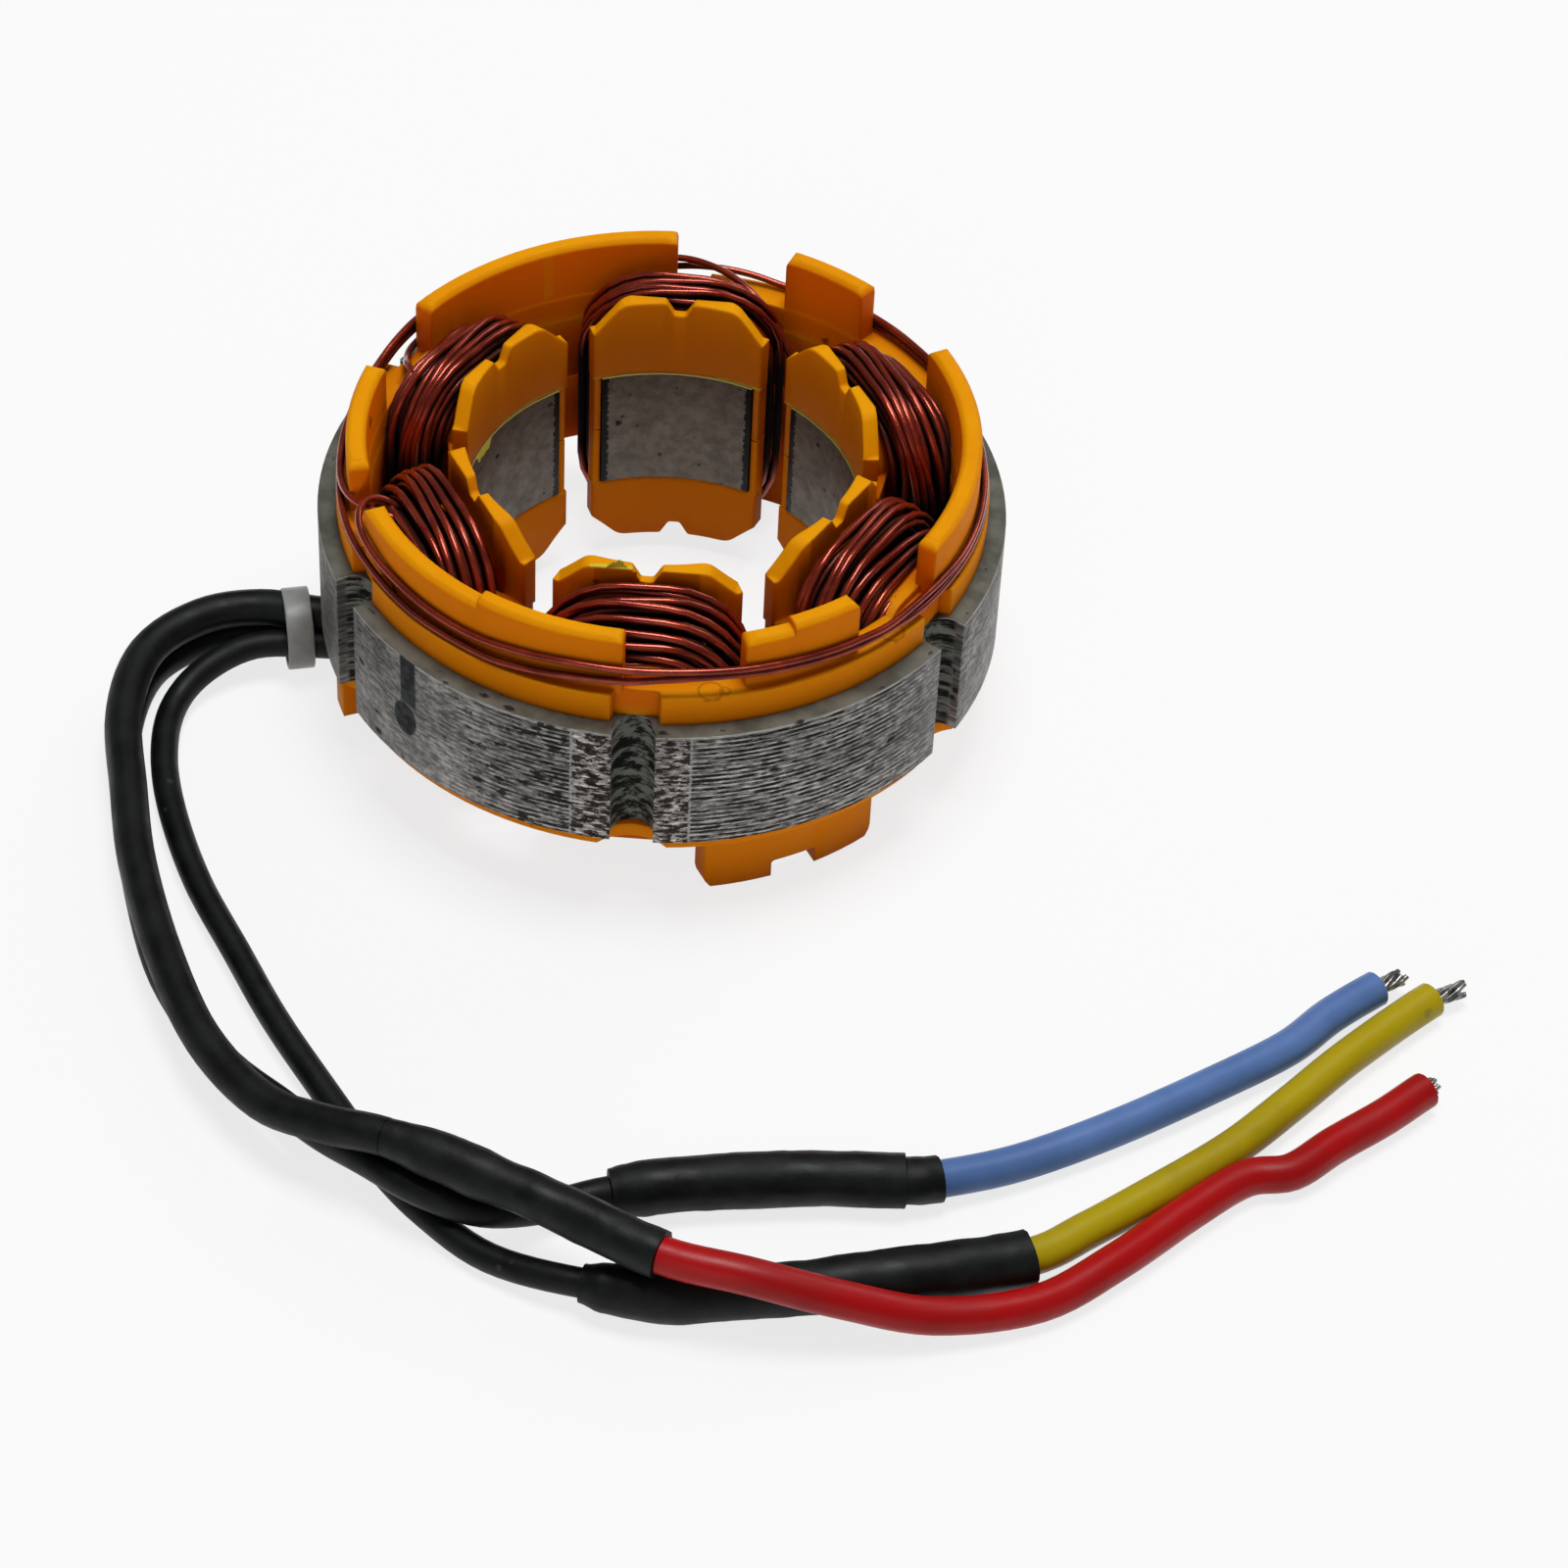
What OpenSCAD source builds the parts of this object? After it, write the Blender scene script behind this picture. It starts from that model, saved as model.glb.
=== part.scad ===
/* [Core] */
// Outside diameter of the laminated core
core_d = 44; // [42:0.5:48]
// Height of the lamination stack
stack_h = 9; // [7:0.5:14]
// Radial width of the yoke ring
yoke_w = 2.8; // [2.5:0.1:3.4]
// Length of each tooth from the yoke to the bore
tooth_l = 6.6; // [6.2:0.1:7.2]
// Width of each tooth
tooth_w = 6.4; // [5.6:0.2:7]
// Angle that one pole shoe spans at the bore
shoe_angle = 46; // [45.2:0.1:47]
// Thickness of a pole shoe at its tip
shoe_tip_t = 0.7; // [0.5:0.1:1]
// Thickness of a pole shoe where it joins its tooth
shoe_root_t = 1.2; // [1:0.1:1.5]
// Width of the locating grooves on the outside
groove_w = 2.7; // [2:0.1:3.2]
// Depth of the locating grooves
groove_depth = 2; // [1.6:0.1:2.2]

/* [Insulators] */
// Thickness of the slot liners
liner_t = 0.45; // [0.35:0.05:0.6]
// Step from the core's outside in to the insulators' rims
rim_inset = 1.2; // [0.8:0.1:1.5]
// Height of the upper rim that the link wires lie on
rim_h = 2.1; // [1.6:0.1:2.6]
// Step from the core's outside in to the outer walls
wall_inset = 1.9; // [1.7:0.1:2.2]
// Thickness of the outer walls
wall_t = 1.3; // [1:0.1:1.5]
// Height of the outer walls above the stack
wall_h = 6.2; // [5.6:0.1:8]
// Drop of the lower stretch of a stepped wall
wall_step = 0.5; // [0.2:0.1:0.8]
// Bevel along the top edges of the walls
wall_bevel = 0.3; // [0.1:0.05:0.4]
// Corner radius at the ends of the walls
wall_round = 0.6; // [0.3:0.1:1]
// Height of the rounded arm over each tooth
arm_h = 2.6; // [2.4:0.1:3.2]
// Corner radius of the arm that the turns bend round
arm_round = 2.5; // [2:0.1:2.8]
// Thickness of the inner flange at each pole shoe
flange_t = 1; // [0.8:0.1:1.2]
// How far the arms and flanges stand proud of the slot liners
flange_over = 0.1; // [0.05:0.05:0.2]
// Height of the upper inner flanges above the stack
flange_h = 5.8; // [5.2:0.1:7.5]
// Height of a flange's sloped corners
flange_slope = 2.1; // [1:0.1:2.2]
// Width of the level top of a flange
flange_top_w = 7.4; // [5:0.2:8]
// Radius where a flange's level top meets its slopes
flange_round = 1.2; // [0.5:0.1:2]
// Width of the notch in a flange's top
notch_w = 1.9; // [1:0.1:2.4]
// Depth of the notch in a flange's top
notch_depth = 1; // [0.5:0.1:1.3]
// Radius of the notch's corners
notch_round = 0.25; // [0.1:0.05:0.3]

/* [Base] */
// Height of the stack above the surface that the stator stands on
foot_h = 6.3; // [6.3:0.1:8]
// Thickness of the lower rim
low_rim_h = 1; // [0.7:0.1:1]
// Step from the core's outside in to the lower rim
low_rim_inset = 0.6; // [0.4:0.1:1.2]
// Radius of the scallops in the lower rim below the grooves
scallop_r = 3.1; // [2.5:0.1:4]
// Depth of the scallops in the lower rim
scallop_depth = 1; // [0.6:0.1:1.2]
// Depth of the lower inner flanges
low_flange_h = 5; // [4.6:0.1:5.6]
// Angle that one foot wall spans
foot_angle = 34; // [30:1:38]
// Corner radius of the foot walls
foot_round = 1.2; // [0.5:0.1:1.6]
// Width of the notch in the lower edge of a foot wall
foot_notch_w = 3.1; // [2:0.1:4]
// Height of the notch in the lower edge of a foot wall
foot_notch_h = 1.6; // [1:0.1:2]
// Width of the gap that the leads leave through
lead_gap_w = 7.2; // [7:0.1:8]
// Depth of the guide tab below the stack
guide_h = 3.7; // [2:0.1:4]

/* [Winding] */
// Diameter of the enamelled wire
wire_d = 0.6; // [0.5:0.02:0.66]
// Layers of wire on a tooth
layers = 4; // [2:1:4]

/* [Leads] */
// Diameter of the sleeve on the red lead
red_sleeve_d = 2.4; // [2:0.1:2.4]
// Diameter of the sleeve on the yellow lead
yellow_sleeve_d = 1.8; // [1.6:0.1:1.8]
// Diameter of the sleeve on the blue lead
blue_sleeve_d = 2; // [1.6:0.1:2]
// Diameter of the red splice sleeve
red_splice_d = 2.9; // [2.6:0.1:2.9]
// Diameter of the yellow splice sleeve
yellow_splice_d = 3.5; // [3:0.1:3.5]
// Diameter of the blue splice sleeve
blue_splice_d = 3.4; // [3:0.1:3.4]
// Diameter of the short sleeve at the end of the blue splice
blue_collar_d = 2.9; // [2.6:0.1:2.9]
// Diameter of the coloured leads
lead_d = 2.3; // [2:0.1:2.3]
// Diameter of the bare strands
strand_d = 1.3; // [1:0.1:1.5]
// Inside diameter of the cable tie
tie_d = 4.8; // [4.8:0.1:5.2]
// Thickness of the cable tie's strap
tie_t = 0.35; // [0.25:0.05:0.4]
// Width of the cable tie's strap
tie_w = 2.6; // [2:0.1:3]
// Size of the cable tie's head
tie_head = 2; // [1.6:0.1:2.4]

/* [Fits] */
// Clearance between the insulators, the core and the wire
fit_gap = 0.05; // [0.02:0.01:0.08]

/* [Hidden] */
$fn = 72;

teeth = 6;
pitch = 360 / teeth;
first_tooth = 90;
core_r = core_d / 2;
slot_r = core_r - yoke_w;
bore_r = slot_r - tooth_l;
stack_top = foot_h + stack_h;
split = 0.1; // space between the two insulators' liners at mid stack
over = 1; // how far a cutter runs past the solid
lip = 0.3; // how far the liners reach into the rims
tip = 0.02; // step left where a rounded corner meets its faces

rim_r = core_r - rim_inset;
low_rim_r = core_r - low_rim_inset;
wall_r_out = core_r - wall_inset;
wall_r_in = wall_r_out - wall_t;
liner_grow = fit_gap + liner_t; // growth of a tooth's outline to the face of its liner
arm_w = tooth_w + 2 * (liner_grow + flange_over);
arm_x = arm_w / 2 - arm_round; // sideways place of the arm's corner centres
arm_z = arm_h - arm_round; // height of the corner centres above the stack
flange_r_in = bore_r + fit_gap;
flange_r_out = flange_r_in + flange_t;
liner_r = slot_r - liner_grow; // clear radius at the bottom of a lined slot
coil_r_in = bore_r + shoe_root_t + liner_grow + fit_gap;

// Outer walls: start angle, end angle and the angle up to which the top edge is stepped down
upper_walls = [[51.5, 69.5, 51.5], [92, 148, 92], [166, 196, 196],
    [207, 267.5, 240], [289, 311, 298], [331, 390, 331]];
step_past = 2; // angle that a step's cutter runs past the end of its wall
foot_angles = [60, 180, 300];
lead_foot = 180;
guide_angle = 202.1;
guide_span = 4.4;
guide_r_in = slot_r + fit_gap;
guide_proud = 0.15; // how far the guide tab stands out past the lower rim
guide_r_out = low_rim_r + guide_proud;
wire_round = 0.3; // share of a wire's thickness left round at a coil's surface
notch_bottom = 0.4; // width of a flange notch's bottom, as a share of its top
groove_flare = 0.6; // how far the rim's cut-outs widen outwards

// Link wires: start angle, end angle and place in the stack of wires on the rim
link_routes = [[164, 435, 0], [198, 433, 1], [78, 161, 0]];
link_r = wall_r_out + wire_d / 2 + fit_gap;
link_end_d = 1.1 * wire_d; // the bent ends are a little thicker
link_tail = link_r + link_end_d / 2 - wall_r_in;

cord_sides = 8;
red_route = [[-18, -0.8, 3.9], [-22, -0.8, 3.9], [-26.2, -0.4, 3.8], [-30, -1.4, 3.5],
    [-33, -4.8, 3.3], [-33.6, -10.6, 3.3], [-32.2, -17.5, 3.3], [-30.6, -24, 3.3],
    [-27.8, -31.5, 3.3], [-24, -38, 3.4], [-19.8, -42.5, 3.7], [-16, -45, 4.6],
    [-12.2, -46.8, 5.4], [-7, -48.8, 5.4], [-1.5, -51, 5.1], [4.5, -53.9, 5.1],
    [9.5, -55.3, 4.9], [15, -55.5, 3.4], [20.5, -54.4, 1.8], [26.5, -52.2, 1.2],
    [31, -48.6, 1.2], [35.4, -44.2, 1.2], [38.6, -41.4, 1.2], [41.4, -40.6, 1.2],
    [44, -38.2, 1.2], [47, -35.7, 1.2], [49.6, -33.2, 1.2], [51, -32.2, 1.2]];
red_breaks = [0, 12, 15, 26, 27];
yellow_route = [[-18, -2.2, 2.5], [-22, -2.2, 2.5], [-26.3, -2.6, 2.4], [-29.4, -4.6, 1.7],
    [-31, -7.6, 1], [-30.9, -12, 1], [-29.6, -17, 1], [-27.1, -23, 1],
    [-23.9, -28.6, 1], [-20.7, -34.1, 1], [-17.1, -39.4, 1], [-13.1, -45, 1],
    [-9.8, -48.6, 1], [-5.6, -51.7, 1], [0, -53.7, 1.8], [6, -54, 1.8],
    [13, -52.8, 1.8], [19.5, -51.1, 1.8], [25.8, -49.2, 1.7], [29.3, -46.3, 1.2],
    [33.1, -42.5, 1.2], [37.7, -38.3, 1.2], [41.4, -34.5, 1.2], [45, -30.3, 1.2],
    [50.2, -25.6, 1.2], [52.2, -24.5, 1.2]];
yellow_breaks = [0, 14, 18, 24, 25];
blue_route = [[-18, -0.3, 1.7], [-22, -0.3, 1.7], [-26.2, -0.4, 1.6], [-30, -1.4, 1.2],
    [-33, -4.8, 1], [-33.6, -10.6, 1], [-32.2, -17.5, 1], [-30.6, -24, 1],
    [-27.8, -31.5, 1], [-24, -38, 1], [-20.2, -42, 1.2], [-16.6, -44.4, 2],
    [-13.4, -46.6, 3], [-10, -48.7, 3.1], [-6.3, -49.4, 2.5], [-2.6, -47.8, 1.4],
    [1, -45.9, 1.7], [6.5, -45, 1.7], [12.5, -44.4, 1.7], [18.3, -44, 1.7],
    [20.3, -43.5, 1.5], [25, -41.5, 1.2], [30.7, -38.2, 1.2], [36.6, -34.1, 1.2],
    [41.2, -30.6, 1.2], [43.9, -27.6, 1.2], [46.8, -25, 1.2], [48.4, -23.8, 1.2]];
blue_breaks = [0, 16, 19, 20, 26, 27];
tie_place = [-23.6, -1.05, 2.8];
tie_head_turn = -110; // turn of the tie's head away from straight up
strand_color = "#c9c9c6";
sleeve_color = "#17191a";
copper_color = "#8a3218";
orange_color = "#f09a10";

function polar(r, a) = [r * cos(a), r * sin(a)];
function mirrored(p) = [for (i = [len(p) - 1 : -1 : 0]) [p[i].x, -p[i].y]];
function corner(c, r, a0, a1, steps = 8) = [for (i = [0 : steps]) c + polar(r, a0 + (a1 - a0) * i / steps)];
function unit(v) = v / norm(v);

// Arc of radius r in place of the corner q between p and s
function fillet(p, q, s, r) =
    let (u = unit(p - q), v = unit(s - q), half = acos(u * v) / 2,
        c = q + unit(u + v) * r / sin(half), from = q + u * r / tan(half) - c,
        a = atan2(from.y, from.x), turn = -sign(cross(u, v)) * (180 - 2 * half))
    corner(c, r, a, a + turn, 4);

// Outline p with the corner radii of list r
function rounded(p, r) =
    let (n = len(p))
    [for (i = [0 : n - 1]) each r[i] > 0 ? fillet(p[(i + n - 1) % n], p[i], p[(i + 1) % n], r[i]) : [p[i]]];

// Half outline of a tooth and its shoe, grown by g, with the tooth along X
function tooth_side(g) =
    let (a = shoe_angle / 2, out = [-sin(a), cos(a)] * g)
    [polar(bore_r - over, a) + out,
     polar(bore_r + shoe_tip_t + g, a) + out,
     [bore_r + shoe_root_t + g, tooth_w / 2 + g],
     [slot_r + over, tooth_w / 2 + g]];

module at_teeth() {
    for (i = [0 : teeth - 1]) rotate(first_tooth + i * pitch) children();
}

module teeth_2d(g) {
    at_teeth() polygon(concat([[0, 0]], tooth_side(g), mirrored(tooth_side(g))));
}

module slots_2d(g, r_in) {
    difference() {
        circle(r = slot_r - g);
        teeth_2d(g);
        circle(r = r_in);
    }
}

module groove_2d() {
    translate([core_r - groove_depth + groove_w / 2, 0]) {
        circle(d = groove_w);
        translate([0, -groove_w / 2]) square([groove_depth, groove_w]);
    }
}

module laminated_core() {
    color("#8d8b87") translate([0, 0, foot_h]) linear_extrude(stack_h) difference() {
        circle(r = core_r, $fn = 144);
        slots_2d(0, bore_r - over);
        circle(r = bore_r, $fn = 144);
        at_teeth() groove_2d();
    }
}

// Ring sector of a wall from its foot to its bevelled top edge
module wall(a0, a1, h, z0 = 0) {
    rotate(a0) rotate_extrude(angle = a1 - a0, $fn = 144)
        polygon([[wall_r_in, z0], [wall_r_out, z0], [wall_r_out, h - wall_bevel],
            [wall_r_out - wall_bevel, h], [wall_r_in + wall_bevel, h], [wall_r_in, h - wall_bevel]]);
}

// What rounds off the top corner at the end of a wall
module wall_end_cut(h) {
    translate([wall_r_in - over, 0, h]) rotate([90, 0, 90]) linear_extrude(wall_t + 2 * over)
        polygon(concat([[-over, over], [wall_round, over]],
            corner([wall_round, -wall_round], wall_round - tip, 90, 180), [[-over, -wall_round]]));
}

// What steps a wall's top edge down between two angles, with the bevels of the lower edge
module wall_step_cut(a0, a1) {
    h = wall_h - wall_step;
    rotate(a0) rotate_extrude(angle = a1 - a0) polygon([[wall_r_in - over, wall_h + over],
        [wall_r_in - over, h - wall_bevel - over], [wall_r_in + wall_bevel, h],
        [wall_r_out - wall_bevel, h], [wall_r_out + over, h - wall_bevel - over],
        [wall_r_out + over, wall_h + over]]);
}

module upper_wall(w) {
    stepped = w[2] > w[0];
    all_low = w[2] == w[1];
    difference() {
        wall(w[0], w[1], wall_h, rim_h - lip);
        if (stepped) wall_step_cut(w[0] - step_past, w[2] + (all_low ? step_past : 0));
        rotate(w[0]) wall_end_cut(wall_h - (stepped ? wall_step : 0));
        rotate(w[1]) mirror([0, 1, 0]) wall_end_cut(wall_h - (all_low ? wall_step : 0));
    }
}

// Plan of a shoe with its sides grown by g, reaching past a radius
module shoe_2d(g, r) {
    a = shoe_angle / 2;
    side = [polar(bore_r - over, a), polar(r, a)] + [for (k = [0, 1]) [-sin(a), cos(a)] * g];
    polygon(concat([[0, 0]], side, mirrored(side)));
}

module wedge_2d(r, angle) {
    far = r / cos(angle / 2);
    polygon([[0, 0], polar(far, -angle / 2), polar(far, angle / 2)]);
}

// Rounded arm over one tooth, with the tooth along X and the stack's face at z = 0
module arm() {
    half = concat([[arm_w / 2, 0]], corner([arm_x, arm_z], arm_round, 0, 90));
    other = [for (i = [len(half) - 1 : -1 : 0]) [-half[i].x, half[i].y]];
    length = wall_r_in + lip - (flange_r_out - lip);
    translate([flange_r_out - lip, 0, 0]) rotate([90, 0, 90]) linear_extrude(length)
        polygon(concat(half, other));
}

// Inner flange at one shoe: sloped corners and a notch in the middle of its edge
module flange(h) {
    grow = liner_grow + flange_over;
    half_w = flange_r_in * sin(shoe_angle / 2) + grow * cos(shoe_angle / 2);
    side = [[bore_r, 0], [bore_r, h - flange_slope], [half_w, h - flange_slope],
        [flange_top_w / 2, h], [notch_w / 2, h], [notch_w * notch_bottom / 2, h - notch_depth]];
    other = [for (i = [len(side) - 1 : -1 : 0]) [-side[i].x, side[i].y]];
    half_radii = [0, 0, 0, flange_round, notch_round, notch_round];
    radii = concat(half_radii, [for (i = [5 : -1 : 0]) half_radii[i]]);
    intersection() {
        linear_extrude(h + over) difference() {
            intersection() {
                circle(r = flange_r_out);
                shoe_2d(grow, flange_r_out + over);
            }
            circle(r = flange_r_in);
        }
        rotate([90, 0, 90]) linear_extrude(flange_r_out + over)
            polygon(rounded(concat(side, other), radii));
    }
}

module liners(depth) {
    translate([0, 0, -depth]) linear_extrude(depth + lip) difference() {
        slots_2d(fit_gap, flange_r_in + flange_over);
        slots_2d(liner_grow, flange_r_in - over);
    }
}

// Cut-out of the upper rim over one groove, wider at the outside
module rim_cut_2d() {
    polygon([[core_r - groove_depth, -groove_w / 2], [core_r, -groove_w / 2 - groove_flare],
        [core_r, groove_w / 2 + groove_flare], [core_r - groove_depth, groove_w / 2]]);
}

// What both insulators share, with the stack's face at z = 0
module insulator_body(r, rim, petal) {
    linear_extrude(rim) difference() {
        circle(r = r, $fn = 144);
        circle(r = liner_r + flange_over / 2, $fn = 144);
        children();
    }
    at_teeth() {
        arm();
        flange(petal);
    }
    liners((stack_h - split) / 2);
}

module top_insulator() {
    color(orange_color) translate([0, 0, stack_top]) {
        insulator_body(rim_r, rim_h, flange_h) at_teeth() rim_cut_2d();
        for (w = upper_walls) upper_wall(w);
    }
}

// Foot wall with rounded lower corners and a gap in its lower edge, standing along Z from the rim
module foot(gap_w, gap_h) {
    half_w = wall_r_out * sin(foot_angle / 2);
    z0 = low_rim_h - lip;
    outline = [[-half_w, z0], [-half_w, foot_h], [-gap_w / 2, foot_h], [-gap_w / 2, foot_h - gap_h],
        [gap_w / 2, foot_h - gap_h], [gap_w / 2, foot_h], [half_w, foot_h], [half_w, z0]];
    radii = [0, foot_round, notch_round, notch_round, notch_round, notch_round, foot_round, 0];
    intersection() {
        wall(-foot_angle, foot_angle, foot_h, z0);
        rotate([90, 0, 90]) linear_extrude(core_r) polygon(rounded(outline, radii));
    }
}

module bottom_insulator() {
    color(orange_color) translate([0, 0, foot_h]) mirror([0, 0, 1]) {
        insulator_body(low_rim_r, low_rim_h, low_flange_h) at_teeth()
            translate([low_rim_r - scallop_depth + scallop_r, 0]) circle(r = scallop_r);
        for (a = foot_angles) rotate(a) {
            if (a == lead_foot) foot(lead_gap_w, foot_h - low_rim_h);
            else foot(foot_notch_w, foot_notch_h);
        }
        rotate(guide_angle) linear_extrude(guide_h) difference() {
            intersection() {
                circle(r = guide_r_out);
                wedge_2d(core_r, guide_span);
            }
            circle(r = guide_r_in);
        }
    }
}

// Turns that fit in a layer between the inner flange and the round slot bottom
function turns(layer) =
    let (x = arm_w / 2 + fit_gap + (layer + 1) * wire_d)
    floor((sqrt(pow(liner_r - fit_gap, 2) - x * x) - coil_r_in) / wire_d);

// Section of a coil: X along the tooth, Y from the arm outwards, wires round at the surface
module coil_section() {
    for (k = [0 : layers - 1]) {
        top = (k + (k == layers - 1 ? 1 - wire_round : 1)) * wire_d;
        square([turns(k) * wire_d, top]);
    }
    translate([0, (layers - 0.5) * wire_d]) for (j = [0 : turns(layers - 1) - 1])
        translate([(j + 0.5) * wire_d, 0]) circle(d = wire_d, $fn = 24);
}

// Coil round one tooth: four quarter turns joined by two long and two short straights
module coil(i) {
    run = stack_h / 2 + arm_z;
    inner = arm_round + fit_gap;
    color(copper_color) translate([0, 0, foot_h + stack_h / 2]) rotate(first_tooth + i * pitch)
        translate([coil_r_in, 0, 0]) for (m = [0, 1]) {
            for (n = [0, 1]) mirror([0, 0, m]) mirror([0, n, 0]) translate([0, arm_x, run])
                rotate([90, 0, 90]) rotate_extrude(angle = 90) translate([inner, 0])
                    rotate(90) mirror([0, 1]) coil_section();
            mirror([0, m, 0]) translate([0, arm_x + inner, -run]) linear_extrude(2 * run) coil_section();
            mirror([0, 0, m]) translate([0, arm_x, run + inner]) rotate([90, 0, 0])
                linear_extrude(2 * arm_x) coil_section();
        }
}

// Wire round the outside of the walls, with its tails bent in through the gaps
module link_wire(i) {
    route = link_routes[i];
    lift = (route[2] + 0.5) * (wire_d + fit_gap) + fit_gap;
    color(copper_color) translate([0, 0, stack_top + rim_h + lift]) {
        rotate(route[0]) rotate_extrude(angle = route[1] - route[0], $fn = 144)
            translate([link_r, 0]) circle(d = wire_d, $fn = 24);
        for (a = [route[0], route[1]]) rotate(a) translate([wall_r_in, 0, 0])
            rotate([0, 90, 0]) cylinder(d = link_end_d, h = link_tail, $fn = 24);
    }
}

module cable_tie() {
    outer = tie_d / 2 + tie_t;
    color("#d9dad6") translate(tie_place) difference() {
        rotate([0, 90, 0]) union() {
            cylinder(r = outer, h = tie_w, center = true);
            rotate(180 + tie_head_turn) translate([outer - tie_t, -tie_head / 2, -tie_w / 2])
                cube([tie_head, tie_head, tie_w]);
        }
        rotate([0, 90, 0]) cylinder(d = tie_d, h = tie_w + over, center = true);
    }
}

function heading(p, i) = unit(p[min(i + 1, len(p) - 1)] - p[max(i - 1, 0)]);
function cord_ring(p, i, r) =
    let (t = heading(p, i), s = unit(cross([0, 0, 1], t)), u = cross(t, s))
    [for (k = [0 : cord_sides - 1])
        let (a = 360 * (k + 0.5) / cord_sides) p[i] + r * (cos(a) * s + sin(a) * u)];

// Tube along the points of a route from one break to the next
module cord(route, breaks, piece, d, shade) {
    first = breaks[piece];
    rings = breaks[piece + 1] - first + 1;
    n = cord_sides;
    points = [for (i = [0 : rings - 1]) each cord_ring(route, first + i, d / 2)];
    skin = [for (i = [0 : rings - 2], k = [0 : n - 1])
        let (a = i * n + k, b = i * n + (k + 1) % n)
        each [[a, b, a + n], [b, b + n, a + n]]];
    start_cap = [for (k = [n - 1 : -1 : 0]) k];
    end_cap = [for (k = [0 : n - 1]) (rings - 1) * n + k];
    color(shade) polyhedron(points, concat([start_cap, end_cap], skin));
}

module red_cord(piece, d, shade) cord(red_route, red_breaks, piece, d, shade);
module yellow_cord(piece, d, shade) cord(yellow_route, yellow_breaks, piece, d, shade);
module blue_cord(piece, d, shade) cord(blue_route, blue_breaks, piece, d, shade);

laminated_core();
top_insulator();
bottom_insulator();
coil(0);  // coil_1
coil(1);  // coil_2
coil(2);  // coil_3
coil(3);  // coil_4
coil(4);  // coil_5
coil(5);  // coil_6
link_wire(0);  // link_wire_1
link_wire(1);  // link_wire_2
link_wire(2);  // link_wire_3
cable_tie();
red_cord(0, red_sleeve_d, sleeve_color);  // red_sleeve
red_cord(1, red_splice_d, sleeve_color);  // red_splice
red_cord(2, lead_d, "#d5121a");  // red_lead
red_cord(3, strand_d, strand_color);  // red_strands
yellow_cord(0, yellow_sleeve_d, sleeve_color);  // yellow_sleeve
yellow_cord(1, yellow_splice_d, sleeve_color);  // yellow_splice
yellow_cord(2, lead_d, "#d2b616");  // yellow_lead
yellow_cord(3, strand_d, strand_color);  // yellow_strands
blue_cord(0, blue_sleeve_d, sleeve_color);  // blue_sleeve
blue_cord(1, blue_splice_d, sleeve_color);  // blue_splice
blue_cord(2, blue_collar_d, sleeve_color);  // blue_collar
blue_cord(3, lead_d, "#6c93d8");  // blue_lead
blue_cord(4, strand_d, strand_color);  // blue_strands
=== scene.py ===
import math
import random
import bpy
from mathutils import Matrix, Vector


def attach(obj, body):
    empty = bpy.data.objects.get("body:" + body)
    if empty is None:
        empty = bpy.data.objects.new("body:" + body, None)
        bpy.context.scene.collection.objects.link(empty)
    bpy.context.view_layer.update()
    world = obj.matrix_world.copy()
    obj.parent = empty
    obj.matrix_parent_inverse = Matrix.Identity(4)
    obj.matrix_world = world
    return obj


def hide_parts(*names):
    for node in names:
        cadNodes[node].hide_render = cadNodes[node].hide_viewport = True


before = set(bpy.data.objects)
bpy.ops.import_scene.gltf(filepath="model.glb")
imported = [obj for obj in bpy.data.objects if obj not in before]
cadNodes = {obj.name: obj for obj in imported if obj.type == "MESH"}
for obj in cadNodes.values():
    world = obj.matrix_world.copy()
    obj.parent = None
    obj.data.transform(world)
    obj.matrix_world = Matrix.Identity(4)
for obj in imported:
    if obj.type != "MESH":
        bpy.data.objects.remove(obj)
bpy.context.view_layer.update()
scene = bpy.context.scene
scene.view_settings.view_transform = "Standard"
mm = 0.001
stackTop = 15.3  # top of the steel above the floor, mm
stackMid = 10.8
print("frame loaded:", len(cadNodes), "nodes")


def clearSelection():
    if bpy.context.object and bpy.context.object.mode != "OBJECT":
        bpy.ops.object.mode_set(mode="OBJECT")
    bpy.ops.object.select_all(action="DESELECT")


def pickOnly(piece):
    clearSelection()
    piece.select_set(True)
    bpy.context.view_layer.objects.active = piece


def applyAll(piece):
    pickOnly(piece)
    for mod in list(piece.modifiers):
        bpy.ops.object.modifier_apply(modifier=mod.name)


def settle(piece):
    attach(piece, "root")
    return piece


# camera at the photograph's angle
cameraView = {"target": (9.13, -15.44, 5.84), "place": (14.54, -232.42, 219.18), "roll": 3.16, "lens": 110.9}


def addCamera(view):
    target = Vector(view["target"]) * mm
    place = Vector(view["place"]) * mm
    back = (place - target).normalized()
    level = Vector((0, 0, 1)).cross(back).normalized()
    upright = back.cross(level)
    roll = math.radians(view["roll"])
    right = level * math.cos(roll) + upright * math.sin(roll)
    up = upright * math.cos(roll) - level * math.sin(roll)
    clearSelection()
    bpy.ops.object.camera_add(location=place)
    cam = bpy.context.object
    cam.matrix_world = Matrix.Translation(place) @ Matrix((right, up, back)).transposed().to_4x4()
    cam.data.sensor_fit = "HORIZONTAL"
    cam.data.sensor_width = 36
    cam.data.lens = view["lens"]
    cam.data.clip_start = 0.01
    scene.camera = cam


addCamera(cameraView)

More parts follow.
